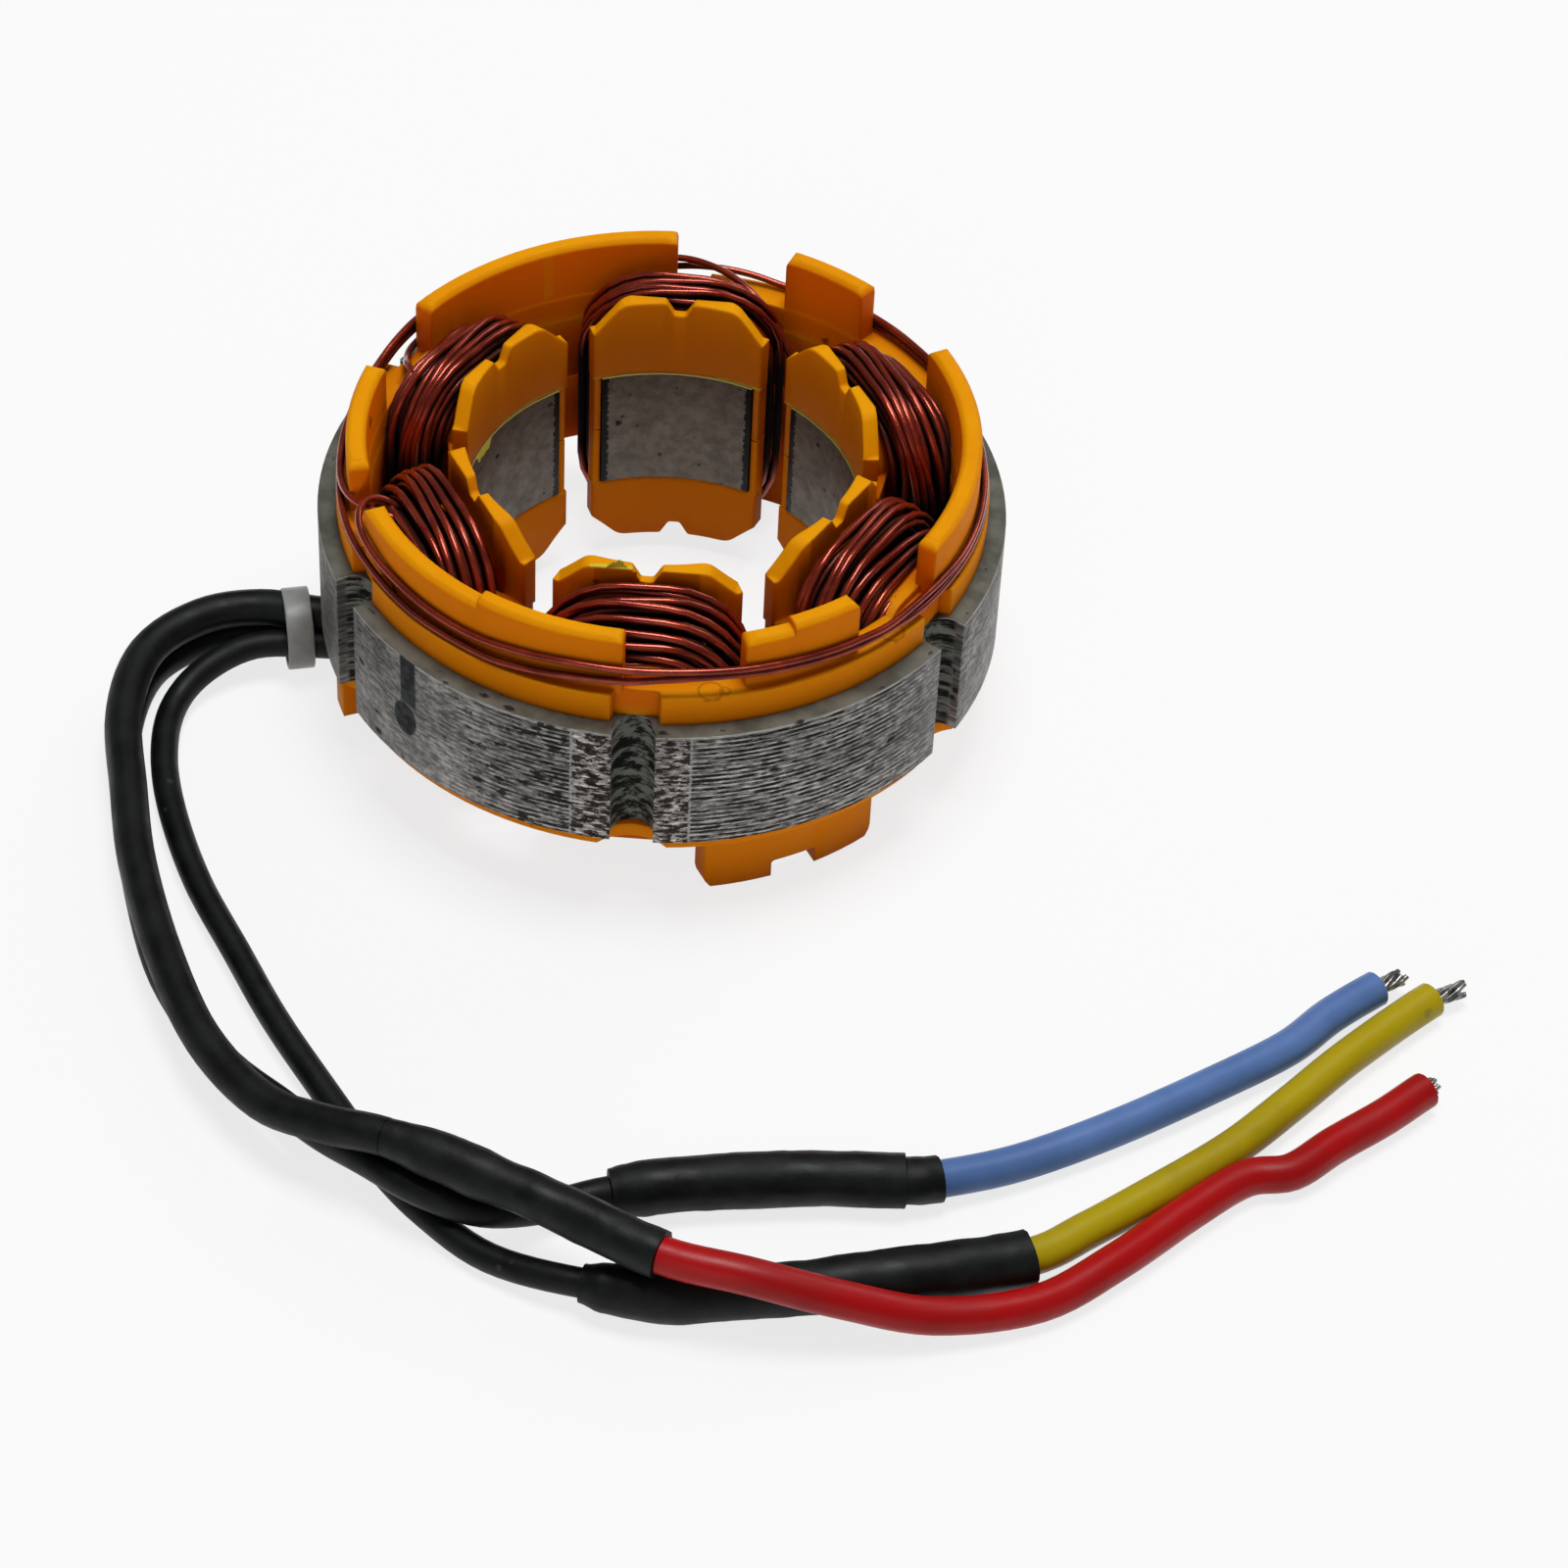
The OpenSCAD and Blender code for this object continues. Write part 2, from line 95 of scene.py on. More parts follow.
# soft studio light at a plain level
studio = {
    "world": 0.15, "floorSize": 3.0, "floorTone": 0.84, "floorGlow": 0.78,
    "lamps": (
        ("keyLamp", (0.02, 0.03, 0.6), 0.24, 2.65),
        ("backLamp", (0.3, 0.36, 0.36), 0.26, 0.5),
        ("fillLamp", (-0.14, -0.6, 0.22), 0.4, 0.4),
    ),
}


def addStudio(light):
    aim = Vector((0, -0.01, 0.01))
    for name, place, size, power in light["lamps"]:
        clearSelection()
        bpy.ops.object.light_add(type="AREA", location=place)
        lamp = bpy.context.object
        lamp.name = name
        lamp.rotation_euler = (aim - Vector(place)).to_track_quat("-Z", "Y").to_euler()
        lamp.data.size = size
        lamp.data.energy = power
    world = bpy.data.worlds.new("studioWorld")
    world.use_nodes = True
    world.node_tree.nodes["Background"].inputs["Color"].default_value = (1, 1, 1, 1)
    world.node_tree.nodes["Background"].inputs["Strength"].default_value = light["world"]
    scene.world = world
    clearSelection()
    bpy.ops.mesh.primitive_plane_add(size=light["floorSize"], location=(0, 0, 0))
    floor = bpy.context.object
    floor.name = "paleFloor"
    mat = bpy.data.materials.new("paleFloor")
    mat.use_nodes = True
    tree = mat.node_tree
    tree.nodes.clear()
    out = tree.nodes.new("ShaderNodeOutputMaterial")
    paint = tree.nodes.new("ShaderNodeBsdfDiffuse")
    paint.inputs["Color"].default_value = (*[light["floorTone"]] * 3, 1)
    glow = tree.nodes.new("ShaderNodeEmission")
    glow.inputs["Strength"].default_value = 1.0
    path = tree.nodes.new("ShaderNodeLightPath")
    seen = tree.nodes.new("ShaderNodeMath")
    seen.operation = "MAXIMUM"
    tree.links.new(path.outputs["Is Camera Ray"], seen.inputs[0])
    tree.links.new(path.outputs["Is Glossy Ray"], seen.inputs[1])
    through = tree.nodes.new("ShaderNodeMath")
    through.operation = "MAXIMUM"
    tree.links.new(seen.outputs[0], through.inputs[0])
    tree.links.new(path.outputs["Is Transmission Ray"], through.inputs[1])
    part = tree.nodes.new("ShaderNodeMath")
    part.operation = "MULTIPLY"
    part.inputs[1].default_value = light["floorGlow"]
    tree.links.new(through.outputs[0], part.inputs[0])
    mix = tree.nodes.new("ShaderNodeMixShader")
    tree.links.new(part.outputs[0], mix.inputs[0])
    tree.links.new(paint.outputs[0], mix.inputs[1])
    tree.links.new(glow.outputs[0], mix.inputs[2])
    tree.links.new(mix.outputs[0], out.inputs["Surface"])
    floor.data.materials.append(mat)


addStudio(studio)
print("camera, lamps and floor placed")


# node helpers
def newMaterial(name):
    mat = bpy.data.materials.new(name)
    mat.use_nodes = True
    tree = mat.node_tree
    tree.nodes.clear()
    out = tree.nodes.new("ShaderNodeOutputMaterial")
    skin = tree.nodes.new("ShaderNodeBsdfPrincipled")
    tree.links.new(skin.outputs["BSDF"], out.inputs["Surface"])
    coords = tree.nodes.new("ShaderNodeTexCoord")
    return mat, tree, skin, coords.outputs["Object"]


def feed(tree, value, socket):
    if isinstance(value, bpy.types.NodeSocket):
        tree.links.new(value, socket)
    else:
        socket.default_value = value


def maths(tree, operation, a, b=0.0, c=0.0):
    node = tree.nodes.new("ShaderNodeMath")
    node.operation = operation
    for value, socket in zip((a, b, c), node.inputs):
        feed(tree, value, socket)
    return node.outputs[0]


def times(tree, a, b):
    return maths(tree, "MULTIPLY", a, b)


def ramp(tree, value, low, high, toLow=0.0, toHigh=1.0):
    node = tree.nodes.new("ShaderNodeMapRange")
    node.interpolation_type = "SMOOTHSTEP"
    for setting, name in ((value, "Value"), (low, "From Min"), (high, "From Max"), (toLow, "To Min"), (toHigh, "To Max")):
        feed(tree, setting, node.inputs[name])
    return node.outputs["Result"]


def blendColour(tree, mask, first, second, mode="MIX"):
    node = tree.nodes.new("ShaderNodeMix")
    node.data_type = "RGBA"
    node.blend_type = mode
    feed(tree, mask, node.inputs["Factor"])
    feed(tree, first, node.inputs[6])
    feed(tree, second, node.inputs[7])
    return node.outputs[2]


def noise(tree, vector, scale, detail=3.0, rough=0.5):
    node = tree.nodes.new("ShaderNodeTexNoise")
    feed(tree, vector, node.inputs["Vector"])
    feed(tree, scale, node.inputs["Scale"])
    node.inputs["Detail"].default_value = detail
    node.inputs["Roughness"].default_value = rough
    return node.outputs["Fac"]


def stretched(tree, vector, scale):
    node = tree.nodes.new("ShaderNodeMapping")
    feed(tree, vector, node.inputs["Vector"])
    node.inputs["Scale"].default_value = scale
    return node.outputs["Vector"]


def bump(tree, height, strength, distance):
    node = tree.nodes.new("ShaderNodeBump")
    feed(tree, height, node.inputs["Height"])
    node.inputs["Strength"].default_value = strength
    node.inputs["Distance"].default_value = distance
    return node.outputs["Normal"]


def startGroup(name, inputs, outputs):
    group = bpy.data.node_groups.new(name, "ShaderNodeTree")
    for label, kind, value in inputs:
        socket = group.interface.new_socket(label, in_out="INPUT", socket_type=kind)
        if value is not None:
            socket.default_value = value
    for label, kind in outputs:
        group.interface.new_socket(label, in_out="OUTPUT", socket_type=kind)
    return group, group.nodes.new("NodeGroupInput").outputs, group.nodes.new("NodeGroupOutput").inputs


def placeGroup(tree, group, **values):
    node = tree.nodes.new("ShaderNodeGroup")
    node.node_tree = group
    for label, value in values.items():
        feed(tree, value, node.inputs[label])
    return node.outputs


def makeSpeckGroup():  # small scattered dots
    group, given, made = startGroup(
        "scatteredSpecks",
        (("Vector", "NodeSocketVector", None), ("Scale", "NodeSocketFloat", 900.0), ("Share", "NodeSocketFloat", 0.2)),
        (("Mask", "NodeSocketFloat"),),
    )
    cells = group.nodes.new("ShaderNodeTexVoronoi")
    group.links.new(given["Vector"], cells.inputs["Vector"])
    group.links.new(given["Scale"], cells.inputs["Scale"])
    warp = noise(group, given["Vector"], 2600.0, 2.0)
    reach = maths(group, "MULTIPLY_ADD", warp, 0.35, cells.outputs["Distance"])
    dot = ramp(group, reach, 0.32, 0.5, 1.0, 0.0)
    split = group.nodes.new("ShaderNodeSeparateColor")
    group.links.new(cells.outputs["Color"], split.inputs[0])
    chosen = maths(group, "LESS_THAN", split.outputs[0], given["Share"])
    group.links.new(maths(group, "MULTIPLY", dot, chosen), made["Mask"])
    return group


def makeMottleGroup():  # slow cloudy change of tone
    group, given, made = startGroup(
        "cloudyTone",
        (("Vector", "NodeSocketVector", None), ("Scale", "NodeSocketFloat", 120.0), ("First", "NodeSocketColor", (1, 1, 1, 1)),
         ("Second", "NodeSocketColor", (0, 0, 0, 1))),
        (("Color", "NodeSocketColor"), ("Mask", "NodeSocketFloat")),
    )
    cloud = ramp(group, noise(group, given["Vector"], given["Scale"], 5.0, 0.6), 0.36, 0.66)
    group.links.new(cloud, made["Mask"])
    group.links.new(blendColour(group, cloud, given["First"], given["Second"]), made["Color"])
    return group


def makeGrainGroup():  # fine moulded or drawn surface
    group, given, made = startGroup(
        "fineGrain",
        (("Vector", "NodeSocketVector", None), ("Scale", "NodeSocketFloat", 1500.0), ("Depth", "NodeSocketFloat", 0.2)),
        (("Normal", "NodeSocketVector"),),
    )
    node = group.nodes.new("ShaderNodeBump")
    node.inputs["Distance"].default_value = 0.0001
    group.links.new(noise(group, given["Vector"], given["Scale"], 4.0, 0.6), node.inputs["Height"])
    group.links.new(given["Depth"], node.inputs["Strength"])
    group.links.new(node.outputs["Normal"], made["Normal"])
    return group


def makeHollowGroup():  # 1 in the open, 0 deep between neighbours
    group, given, made = startGroup(
        "hollowShade",
        (("Distance", "NodeSocketFloat", 0.002), ("Low", "NodeSocketFloat", 0.2), ("High", "NodeSocketFloat", 0.8)),
        (("Open", "NodeSocketFloat"),),
    )
    reach = group.nodes.new("ShaderNodeAmbientOcclusion")
    reach.samples = 8
    group.links.new(given["Distance"], reach.inputs["Distance"])
    group.links.new(ramp(group, reach.outputs["AO"], given["Low"], given["High"]), made["Open"])
    return group


specks = makeSpeckGroup()
hollowShade = makeHollowGroup()
cloudyTone = makeMottleGroup()
fineGrain = makeGrainGroup()


def splitXyz(tree, vector):
    node = tree.nodes.new("ShaderNodeSeparateXYZ")
    tree.links.new(vector, node.inputs[0])
    return node.outputs


def radiusOf(tree, x, y):
    return maths(tree, "SQRT", maths(tree, "ADD", times(tree, x, x), times(tree, y, y)))


def frontAngle(tree, x, y):  # degrees, 0 at the front, right positive
    return maths(tree, "DEGREES", maths(tree, "ARCTAN2", x, times(tree, y, -1.0)))


def joinXyz(tree, x, y, z):
    node = tree.nodes.new("ShaderNodeCombineXYZ")
    for value, socket in zip((x, y, z), node.inputs):
        feed(tree, value, socket)
    return node.outputs[0]


def offFrom(tree, value, middle):  # distance from a middle value
    return maths(tree, "ABSOLUTE", maths(tree, "SUBTRACT", value, middle))


moulding = {  # pin marks on the rim: x, y, radius, mm
    "round": 0.32, "pins": ((4.47, -19.62, 0.75), (15.19, -13.19, 0.75), (5.35, -19.52, 0.3)),
    # colours: lit is the orange of faces turned up to the light, and side, wall and petal are redder copies painted as
    # shade on faces turned away; the colours for hollows and for the slots are painted shade, and the angle at -151.5
    # places a painted highlight band on a wall crease
    "lit": (0.8, 0.32, 0.0008), "deep": (0.76, 0.28, 0.0008), "side": (0.92, 0.27, 0.0005),
    "hollowShadeTone": (0.55, 0.1, 0.0004), "flash": (0.62, 0.56, 0.06),
    "slot": (0.72, 0.1, 0.002), "wall": (0.95, 0.17, 0.0005), "petal": (0.7, 0.195, 0.0004), "creaseHighlight": -151.5,
}


def makeOrangePlastic(look):
    mat, tree, skin, place = newMaterial("orangePlastic")
    x, y, z = splitXyz(tree, place)[0:3]
    radius = radiusOf(tree, x, y)
    tone = placeGroup(tree, cloudyTone, Vector=place, Scale=140.0, First=(*look["lit"], 1), Second=(*look["deep"], 1))
    grime = placeGroup(tree, specks, Vector=place, Scale=640.0, Share=0.022)["Mask"]
    rounded = tree.nodes.new("ShaderNodeBevel")  # moulded corners
    rounded.samples = 6
    rounded.inputs["Radius"].default_value = look["round"] * mm
    # painted light: faces turned up get the lit tone, upright walls, other sides and petals get redder painted-shade
    # copies
    upward = ramp(tree, splitXyz(tree, rounded.outputs["Normal"])[2], 0.05, 0.8)
    outOfPaintedShade = placeGroup(tree, hollowShade, Distance=0.006, Low=0.15, High=0.85)["Open"]
    onWall = times(tree, ramp(tree, radius, 0.0172, 0.0178), ramp(tree, radius, 0.0199, 0.0202, 1.0, 0.0))
    onHighWall = times(tree, onWall, ramp(tree, z, 0.0155, 0.0165))
    upright = blendColour(tree, onHighWall, (*look["side"], 1), (*look["wall"], 1))
    upright = blendColour(tree, ramp(tree, radius, 0.0142, 0.0148, 1.0, 0.0), upright, (*look["petal"], 1))
    colour = blendColour(tree, upward, upright, tone["Color"])
    # painted shade: darker red-brown where neighbouring parts close in
    colour = blendColour(tree, outOfPaintedShade, (*look["hollowShadeTone"], 1), colour)
    colour = blendColour(tree, times(tree, grime, 0.8), colour, (0.05, 0.02, 0.003, 1))
    # painted shade: darker red over the faces inside the slots
    slotShade = times(tree, ramp(tree, z, 0.0146, 0.0153, 1.0, 0.0), ramp(tree, z, 0.0025, 0.0035))
    slotDepth = times(tree, ramp(tree, radius, 0.0165, 0.0175), ramp(tree, radius, 0.0192, 0.0195, 1.0, 0.0))
    slotShade = times(tree, slotShade, slotDepth)
    colour = blendColour(tree, times(tree, slotShade, 0.8), colour, (*look["slot"], 1))
    # painted highlight: a band of the lit colour down the crease of the wall at -151.5 degrees, high up
    creaseHighlight = ramp(tree, offFrom(tree, frontAngle(tree, x, y), look["creaseHighlight"]), 0.6, 1.4, 0.3, 0.0)
    creaseHighlightPlace = times(tree, ramp(tree, radius, 0.0183, 0.0185), ramp(tree, z, 0.0175, 0.018))
    creaseHighlight = times(tree, creaseHighlight, creaseHighlightPlace)
    colour = blendColour(tree, creaseHighlight, colour, (*look["lit"], 1))
    onRim = ramp(tree, offFrom(tree, z, 0.0174), 0.0002, 0.0003, 1.0, 0.0)
    rings = 0.0
    for px, py, pr in look["pins"]:
        away = radiusOf(tree, maths(tree, "SUBTRACT", x, px * mm), maths(tree, "SUBTRACT", y, py * mm))
        rings = maths(tree, "MAXIMUM", ramp(tree, offFrom(tree, away, pr * mm), 0.00004, 0.00013, 1.0, 0.0), rings)
    rings = times(tree, rings, onRim)
    colour = blendColour(tree, times(tree, rings, 0.5), colour, (0.3, 0.085, 0.001, 1))
    ragged = noise(tree, place, 700.0, 4.0, 0.65)
    seam = maths(tree, "MULTIPLY_ADD", ragged, 0.00036, 0.01528)
    onBore = ramp(tree, radius, 0.01285, 0.013, 1.0, 0.0)
    lowEdge = times(tree, maths(tree, "LESS_THAN", z, seam), maths(tree, "GREATER_THAN", z, 0.0152))
    aboveRim = maths(tree, "GREATER_THAN", z, 0.02102)
    fin = times(tree, aboveRim, maths(tree, "LESS_THAN", offFrom(tree, y, -0.01315), 0.0002))
    fin = times(tree, fin, maths(tree, "LESS_THAN", x, -0.0006))
    thin = ramp(tree, noise(tree, place, 190.0, 2.0), 0.45, 0.6)
    pale = maths(tree, "MAXIMUM", times(tree, times(tree, onBore, lowEdge), thin), fin)
    colour = blendColour(tree, times(tree, pale, 0.8), colour, (*look["flash"], 1))
    tree.links.new(colour, skin.inputs["Base Color"])
    tree.links.new(ramp(tree, noise(tree, place, 420.0, 4.0), 0.3, 0.7, 0.46, 0.6), skin.inputs["Roughness"])
    skin.inputs["Subsurface Weight"].default_value = 0.2
    skin.inputs["Subsurface Radius"].default_value = (1.0, 0.36, 0.03)
    skin.inputs["Subsurface Scale"].default_value = 0.0011
    skin.inputs["Specular IOR Level"].default_value = 0.05
    grain = tree.nodes.new("ShaderNodeBump")
    grain.inputs["Strength"].default_value = 0.2
    grain.inputs["Distance"].default_value = 0.0001
    tree.links.new(noise(tree, place, 1100.0, 4.0, 0.6), grain.inputs["Height"])
    tree.links.new(rounded.outputs["Normal"], grain.inputs["Normal"])
    tree.links.new(grain.outputs["Normal"], skin.inputs["Normal"])
    return mat


laminate = {  # colours and places on the steel; angles from the front, mm
    "sheet": 0.375, "light": (0.62, 0.595, 0.565), "cloud": (0.37, 0.355, 0.335),
    "gap": (0.018, 0.016, 0.015), "brown": (0.03, 0.015, 0.009),
    "rust": (0.012, 0.007, 0.005), "flat": (0.17, 0.176, 0.148), "flatDark": (0.1, 0.104, 0.086),
    "bore": (0.145, 0.122, 0.102), "boreDark": (0.1, 0.084, 0.07), "shoe": 23.0,
    "seams": (-10.0, 9.3), "dripAngle": -41.0, "bulb": (-41.8, 10.15), "flash": (0.62, 0.56, 0.06),
    "dripDark": (0.014, 0.016, 0.018), "dripLight": (0.055, 0.06, 0.063),
    "arcPerDegree": 0.000384,
}


def makeCoreSteel(look):
    mat, tree, skin, place = newMaterial("coreSteel")
    x, y, z = splitXyz(tree, place)[0:3]
    radius = radiusOf(tree, x, y)
    angle = frontAngle(tree, x, y)
    facing = tree.nodes.new("ShaderNodeTexCoord").outputs["Normal"]
    flat = ramp(tree, splitXyz(tree, facing)[2], 0.55, 0.8)
    wrapped = joinXyz(tree, times(tree, angle, look["arcPerDegree"]), z, 0.0)  # arc along the outside, height
    outside = ramp(tree, radius, 0.0213, 0.0217)
    upright = maths(tree, "SUBTRACT", 1.0, flat)

    # sheets: dark gaps, ragged near the front, faint further round
    raggedLine = noise(tree, stretched(tree, wrapped, (260.0, 900.0, 1.0)), 1.0, 3.0)
    wobble = times(tree, maths(tree, "SUBTRACT", raggedLine, 0.5), 0.00022)
    sheet = maths(tree, "FRACT", maths(tree, "DIVIDE", maths(tree, "ADD", z, wobble), look["sheet"] * mm))
    gap = ramp(tree, offFrom(tree, sheet, 0.5), 0.1, 0.22)
    worn = ramp(tree, noise(tree, stretched(tree, wrapped, (520.0, 2650.0, 1.0)), 1.0, 4.0, 0.65), 0.43, 0.54)
    turned = offFrom(tree, angle, 12.0)
    fade = maths(tree, "MAXIMUM", ramp(tree, turned, 24.0, 54.0, 1.0, 0.25), ramp(tree, turned, 64.0, 90.0, 0.0, 0.8))
    gapShare = times(tree, gap, maths(tree, "MULTIPLY_ADD", worn, 0.6, 0.4))
    patchy = ramp(tree, noise(tree, stretched(tree, wrapped, (1000.0, 2650.0, 1.0)), 1.0, 3.0, 0.7), 0.47, 0.53)
    middle = (look["seams"][0] + look["seams"][1]) / 2
    half = (look["seams"][1] - look["seams"][0]) / 2
    broken = ramp(tree, offFrom(tree, angle, middle), half - 0.2, half + 0.2, 1.0, 0.0)
    patches = maths(tree, "MAXIMUM", times(tree, patchy, 0.97), times(tree, gapShare, 0.55))
    dark = maths(tree, "ADD", times(tree, patches, broken),
                 times(tree, times(tree, gapShare, fade), maths(tree, "SUBTRACT", 1.0, broken)))
    dark = times(tree, times(tree, dark, outside), upright)
    tone = placeGroup(tree, cloudyTone, Vector=place, Scale=230.0, First=(*look["light"], 1), Second=(*look["cloud"], 1))
    grit = ramp(tree, noise(tree, stretched(tree, wrapped, (1300.0, 2650.0, 1.0)), 1.0, 3.0, 0.7), 0.36, 0.64, 0.4, 1.2)
    grit = times(tree, grit, maths(tree, "MULTIPLY_ADD", broken, 0.35, 1.0))
    grit = times(tree, grit, ramp(tree, offFrom(tree, angle, 6.0), 24.0, 56.0, 1.0, 0.55))
    toned = blendColour(tree, 1.0, tone["Color"], joinXyz(tree, grit, grit, grit), "MULTIPLY")
    gapTone = blendColour(tree, broken, (*look["gap"], 1), (*look["brown"], 1))
    colour = blendColour(tree, dark, toned, gapTone)

    # two thin bright seams beside the front groove, and a painted highlight along the upper edge of the outside
    seam = maths(tree, "MINIMUM", offFrom(tree, angle, look["seams"][0]), offFrom(tree, angle, look["seams"][1]))
    bright = times(tree, ramp(tree, seam, 0.1, 0.32, 1.0, 0.0), maths(tree, "MULTIPLY_ADD", worn, 0.5, 0.35))
    edgeHighlight = times(tree, ramp(tree, z, 0.01512, 0.0152), times(tree, upright, 0.6))
    bright = times(tree, maths(tree, "MAXIMUM", bright, edgeHighlight), outside)
    colour = blendColour(tree, bright, colour, (0.5, 0.49, 0.465, 1))

    # flat end faces; grooves near black with painted shade, broken by mottled lighter patches
    flatTone = placeGroup(tree, cloudyTone, Vector=place, Scale=420.0, First=(*look["flat"], 1), Second=(*look["flatDark"], 1))
    colour = blendColour(tree, flat, colour, flatTone["Color"])
    groove = times(tree, ramp(tree, radius, 0.0212, 0.0216, 1.0, 0.0), ramp(tree, radius, 0.0195, 0.0198))
    groove = times(tree, groove, upright)
    grooveMix = ramp(tree, noise(tree, stretched(tree, wrapped, (700.0, 1500.0, 1.0)), 1.0, 4.0, 0.7), 0.44, 0.58)
    grooveShadeTone = blendColour(tree, grooveMix, (0.006, 0.007, 0.005, 1), (0.25, 0.26, 0.22, 1))
    colour = blendColour(tree, groove, colour, grooveShadeTone)

    # bore faces, with painted shade in a dark band at the sides of each shoe, where the gap to the liner falls
    onBore = times(tree, ramp(tree, radius, 0.0128, 0.013, 1.0, 0.0), upright)
    boreTone = placeGroup(tree, cloudyTone, Vector=place, Scale=1500.0, First=(*look["bore"], 1), Second=(*look["boreDark"], 1))
    colour = blendColour(tree, onBore, colour, boreTone["Color"])
    tooth = maths(tree, "SUBTRACT", maths(tree, "FLOORED_MODULO", maths(tree, "ADD", angle, 30.0), 60.0), 30.0)
    side = maths(tree, "ADD", maths(tree, "ABSOLUTE", tooth), times(tree, maths(tree, "SUBTRACT", worn, 0.5), 0.6))
    shoeGapShade = times(tree, ramp(tree, side, look["shoe"] - 2.2, look["shoe"] - 1.7), onBore)
    colour = blendColour(tree, shoeGapShade, colour, (0.006, 0.005, 0.005, 1))

    # dark specks, smeared along the sheets, densest left of the front groove
    nearFront = ramp(tree, offFrom(tree, angle, -9.0), 8.0, 30.0, 1.0, 0.0)
    frontShare = maths(tree, "MULTIPLY_ADD", nearFront, 0.5, 0.11)
    share = times(tree, frontShare, maths(tree, "MULTIPLY_ADD", outside, 0.5, 0.5))
    smear = stretched(tree, wrapped, (0.55, 1.0, 1.0))
    onSide = joinXyz(tree, splitXyz(tree, smear)[0], z, radius)
    spots = placeGroup(tree, specks, Vector=onSide, Scale=1050.0, Share=share)["Mask"]
    fine = placeGroup(tree, specks, Vector=onSide, Scale=2000.0, Share=times(tree, share, 0.9))["Mask"]
    spots = times(tree, maths(tree, "MAXIMUM", spots, times(tree, fine, 0.8)), 0.95)
    blotch = noise(tree, stretched(tree, wrapped, (620.0, 1250.0, 1.0)), 1.0, 5.0, 0.72)
    blotch = ramp(tree, maths(tree, "MULTIPLY_ADD", nearFront, 0.1, blotch), 0.655, 0.68)
    blotch = times(tree, times(tree, blotch, outside), upright)
    spots = maths(tree, "MAXIMUM", spots, times(tree, blotch, 0.92))
    colour = blendColour(tree, spots, colour, (*look["rust"], 1))

    # run of dried varnish left of the front
    stemWidth = ramp(tree, offFrom(tree, angle, look["dripAngle"]), 1.5, 2.1, 1.0, 0.0)
    stem = times(tree, stemWidth, ramp(tree, z, 0.0112, 0.0117))
    across = maths(tree, "DIVIDE", maths(tree, "SUBTRACT", angle, look["bulb"][0]), 2.8)
    along = maths(tree, "DIVIDE", maths(tree, "SUBTRACT", z, look["bulb"][1] * mm), 0.0014)
    drop = ramp(tree, radiusOf(tree, across, along), 0.88, 1.02, 1.0, 0.0)
    drip = times(tree, maths(tree, "MAXIMUM", stem, drop), times(tree, outside, upright))
    dripMottle = ramp(tree, noise(tree, place, 1300.0, 4.0), 0.4, 0.62)
    dripTone = blendColour(tree, dripMottle, (*look["dripDark"], 1), (*look["dripLight"], 1))
    colour = blendColour(tree, times(tree, drip, 0.95), colour, dripTone)

    # pale flash squeezed onto the bore at the left back tooth
    lean = maths(tree, "SUBTRACT", -108.5, angle)
    leanShare = ramp(tree, offFrom(tree, lean, 0.0), 3.0, 6.0, 1.0, 0.0)
    reach = times(tree, leanShare, maths(tree, "MULTIPLY_ADD", worn, 0.0003, 0.00045))
    spill = maths(tree, "GREATER_THAN", z, maths(tree, "SUBTRACT", 0.0152, reach))
    spill = times(tree, times(tree, spill, upright), ramp(tree, radius, 0.0128, 0.013, 1.0, 0.0))
    colour = blendColour(tree, spill, colour, (*look["flash"], 1))

    tree.links.new(colour, skin.inputs["Base Color"])
    stained = maths(tree, "MAXIMUM", spots, drip)
    dull = maths(tree, "MAXIMUM", stained, maths(tree, "MAXIMUM", spill, maths(tree, "MAXIMUM", groove, dark)))
    tree.links.new(maths(tree, "MULTIPLY_ADD", dull, -0.55, 0.6), skin.inputs["Metallic"])
    sheenBase = ramp(tree, noise(tree, place, 700.0, 3.0), 0.3, 0.7, 0.4, 0.55)
    sheenShare = maths(tree, "MAXIMUM", sheenBase, times(tree, dull, 0.8))
    tree.links.new(sheenShare, skin.inputs["Roughness"])
    skin.inputs["Specular IOR Level"].default_value = 0.2
    height = maths(tree, "SUBTRACT", times(tree, dark, -1.0), times(tree, spots, 0.5))
    height = maths(tree, "ADD", height, times(tree, times(tree, grooveMix, groove), 1.2))
    tree.links.new(bump(tree, height, 0.5, 0.00008), skin.inputs["Normal"])
    return mat


